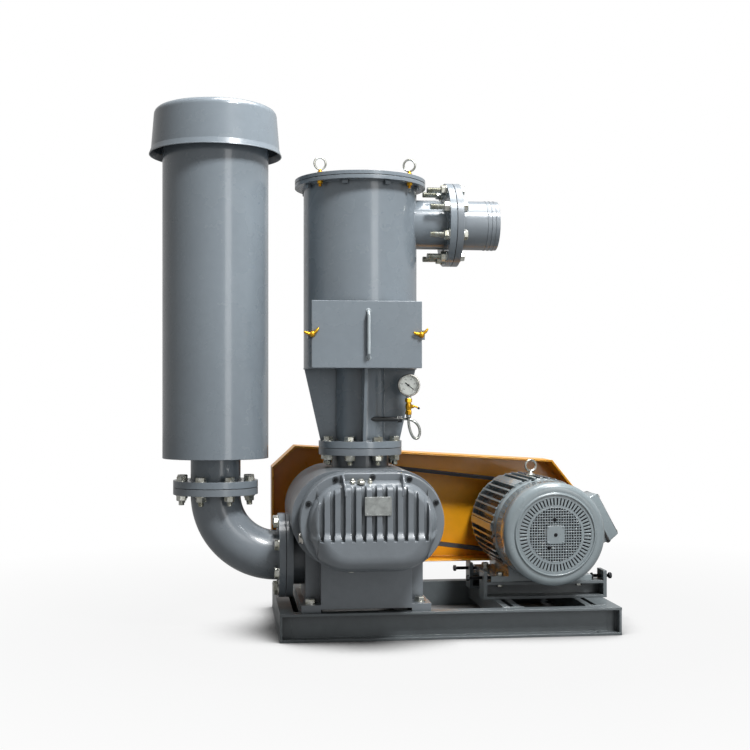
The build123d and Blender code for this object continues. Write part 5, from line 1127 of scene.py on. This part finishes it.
add(lever, tube(leverPath[:11], cockLook["leverRadius"], 12))
add(lever, tube(leverPath[10:], cockLook["grip"], 12), slot=1)
piece(lever, "cockHandle", "cock_handle", ["brass_fittings", "black_rubber"], ["cock_lever"])

tapSpot = dict(y=-188, z=707)
tapParts = (
    # x of the foot, form, turn, slot
    (-196, turned([(8, 0), (8, 24), (7.4, 25), (7.4, 34)], 24), 0, 0),
    (-220, turned([(8, 0), (8, 24)], 24), 0, 0),
    (-163, hexForm(19, 12), 10, 1),
    (-151, turned([(6.6, 0), (6.6, 2), (5, 3)], 20), 0, 1),
)
tap = newBook()
for x, form, spin, slot in tapParts:
    add(tap, form, (x, tapSpot["y"], tapSpot["z"]), right, spin, slot)
piece(tap, "tapFitting", "skid", ["dark_pipe", "siphon_steel"])
print("gauge dressed")

# ---- rims, guard trim, and beads, plates and rib on the skid
capRim = dict(z=1583.5, radius=216.8, wire=1.9)
rim = newBook()
add(rim, tube(ringOf(capRim["radius"], 120), capRim["wire"], 8, closed=True), (silencerX, pipeY, capRim["z"]))
piece(rim, "capRim", "skid", ["drum_paint"])

guardTrim = dict(
    y=253.5, wire=1.5, bend=5,
    outline=[(-562.5, 171.5), (-562.5, 522), (-478.5, 600.4), (487.5, 542.4), (568.5, 442.4), (568.5, 171.5)],
    boltX=(-240, 345), boltApart=36.0, boltY=318, seats=((96, 14), (173, 32)), size=8, flats=13,    # z, turn
)
guardEdge = newBook()
run = [(x, guardTrim["y"], z) for x, z in guardTrim["outline"] + guardTrim["outline"][:1]]
add(guardEdge, tube(bent(run, guardTrim["bend"], 4), guardTrim["wire"], 8))
piece(guardEdge, "guardEdge", "skid", ["guard_paint"])
guardBolts = newBook()
for x in guardTrim["boltX"]:
    for side in (-1, 1):
        for z, spin in guardTrim["seats"]:
            spot = (x + side * guardTrim["boltApart"] / 2, guardTrim["boltY"], z)
            addBolt(guardBolts, spot, up, guardTrim["size"], guardTrim["flats"], spin)
piece(guardBolts, "guardBolts", "skid", ["zinc_fasteners"])

skidWeld = dict(x=(205.5, 484.5), y=294.4, z=90.4, long=72.0, steps=14, size=2.0, ripple=0.5)
welds = newBook()
points = range(skidWeld["steps"] + 1)
along = [skidWeld["long"] * (i / skidWeld["steps"] - 0.5) for i in points]
radii = [skidWeld["size"] + skidWeld["ripple"] * (i % 2) for i in points]
for x in skidWeld["x"]:
    for y in (-skidWeld["y"], skidWeld["y"]):
        add(welds, tube([(x + u, y, skidWeld["z"]) for u in along], radii, 8))
piece(welds, "skidWelds", "skid", ["skid_paint"])

skidEnds = dict(
    x=552.0, z=45.0, long=679.0, high=75.0, thick=7.6, webX=536.8, webY=295.0, web=31.0, webThick=7.0,
)
endPlate = slab(roundBox(skidEnds["long"], skidEnds["high"], 1), skidEnds["thick"], 0.6)
cornerWeb = slab(roundBox(skidEnds["web"], skidEnds["high"], 1), skidEnds["webThick"], 0.3)
ends = newBook()
for side in (-1, 1):
    add(ends, endPlate, (side * skidEnds["x"], 0, skidEnds["z"]), (side, 0, 0))
    for end in (-1, 1):
        add(ends, cornerWeb, (side * skidEnds["webX"], end * skidEnds["webY"], skidEnds["z"]), (0, end, 0))
piece(ends, "skidEndPlates", "skid", ["skid_paint"])

pedestalRib = dict(wide=300.0, high=22.0, thick=10.0, z=101.2)
ribs = newBook()
rib = slab(roundBox(pedestalRib["wide"], pedestalRib["high"], 1), pedestalRib["thick"], 0.6)
add(ribs, rib, (pumpX, pipeY, pedestalRib["z"]), front)
piece(ribs, "pedestalRib", "skid", ["pump_paint"])
print("trim added")

# ---- studio
studio = dict(
    worldLight=0.13, mirrored=0.42, floorMirrored=0.25, floorSize=40.0, floorTone=(112, 112, 112),
    floorRough=0.9, nearFloor=0.90, fadeStart=1.0, fadeEnd=2.6,
    shadowReach=0.3, shadowDark=0.45, shadowLight=0.80,    # openness of the full shadow, and of none
    lamps={
        # place, target, power, width, height
        "keyLamp": ((1.4, -3.0, 4.7), (-0.2, -0.1, 0.8), 275.0, 1.0, 1.0),
        "stripLamp": ((2.04, -5.56, 1.5), (-0.3, -0.1, 0.9), 50.0, 1.4, 4.0),
        "skyLamp": ((0.5, -0.1, 4.6), (0, 0, 0.6), 190.0, 2.6, 2.6),
        "fillLamp": ((-2.2, -5.0, 1.9), (-0.2, 0, 0.8), 1.5, 2.6, 2.6),
    },
)


def addLamp(name, spot, target, power, width, height):
    lamp = bpy.data.lights.new(name, "AREA")
    lamp.shape = "RECTANGLE"
    lamp.size, lamp.size_y, lamp.energy = width, height, power
    holder = bpy.data.objects.new(name, lamp)
    holder.location = spot
    holder.rotation_euler = (Vector(target) - Vector(spot)).to_track_quat("-Z", "Y").to_euler()
    bpy.context.scene.collection.objects.link(holder)


def studioRays(tree, mirrored):
    # 1 for rays that see the white studio straight or through glass, less for a mirrored one
    path = addNode(tree, "ShaderNodeLightPath").outputs
    dimmed = combined(tree, "MULTIPLY", path["Is Glossy Ray"], mirrored)
    some = combined(tree, "MAXIMUM", path["Is Camera Ray"], dimmed)
    return combined(tree, "MAXIMUM", some, path["Is Transmission Ray"])


world = bpy.data.worlds.new("studio")
bpy.context.scene.world = world
world.use_nodes = True
worldTree = world.node_tree
strength = ramp(worldTree, studioRays(worldTree, studio["mirrored"]), 0, 1, studio["worldLight"], 1.0)
feed(worldTree, worldTree.nodes["Background"], {"Color": (1, 1, 1, 1), "Strength": strength})

half = studio["floorSize"] / 2
floorMesh = bpy.data.meshes.new("floor")
floorMesh.from_pydata([(x, y, 0) for x, y in oblong(-half, -half, half, half)], [], [(0, 1, 2, 3)])
floor = bpy.data.objects.new("floor", floorMesh)
bpy.context.scene.collection.objects.link(floor)
floor.location.z = -0.0005
floorFinish, floorTree, floorShader = newFinish("floor")
feed(floorTree, floorShader, {"Base Color": shade(*studio["floorTone"]), "Roughness": studio["floorRough"]})
glow = addNode(floorTree, "ShaderNodeEmission", {"Strength": 1.0})
middle = addNode(floorTree, "ShaderNodeTexCoord").outputs["Object"]
away = addNode(floorTree, "ShaderNodeVectorMath", {0: middle}, operation="LENGTH").outputs["Value"]
fade = ramp(floorTree, away, studio["fadeStart"], studio["fadeEnd"], studio["nearFloor"], 1.0)
openness = openSky(floorTree, studio["shadowReach"], 12)
lit = ramp(floorTree, openness, studio["shadowDark"], studio["shadowLight"])
pale = combined(floorTree, "MULTIPLY", fade, lit)
seen = combined(floorTree, "MULTIPLY", studioRays(floorTree, studio["floorMirrored"]), pale)
mixed = addNode(floorTree, "ShaderNodeMixShader", {0: seen, 1: floorShader.outputs[0], 2: glow.outputs[0]})
feed(floorTree, floorTree.nodes["Material Output"], {"Surface": mixed.outputs[0]})
floor.data.materials.append(floorFinish)
floor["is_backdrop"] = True
for name, lamp in studio["lamps"].items():
    addLamp(name, *lamp)
print("studio lit")

# ---- camera
view = dict(spot=(-0.717, -4.149, 0.777), yaw=6.9, lens=57.6, shiftUp=0.0307)
cameraData = bpy.data.cameras.new("camera")
cameraData.lens, cameraData.sensor_width, cameraData.shift_y = view["lens"], 36.0, view["shiftUp"]
camera = bpy.data.objects.new("camera", cameraData)
camera.location = view["spot"]
camera.rotation_euler = (math.radians(90), 0, math.radians(-view["yaw"]))
bpy.context.scene.collection.objects.link(camera)
bpy.context.scene.camera = camera
bpy.context.scene.view_settings.view_transform = "Standard"

low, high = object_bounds()
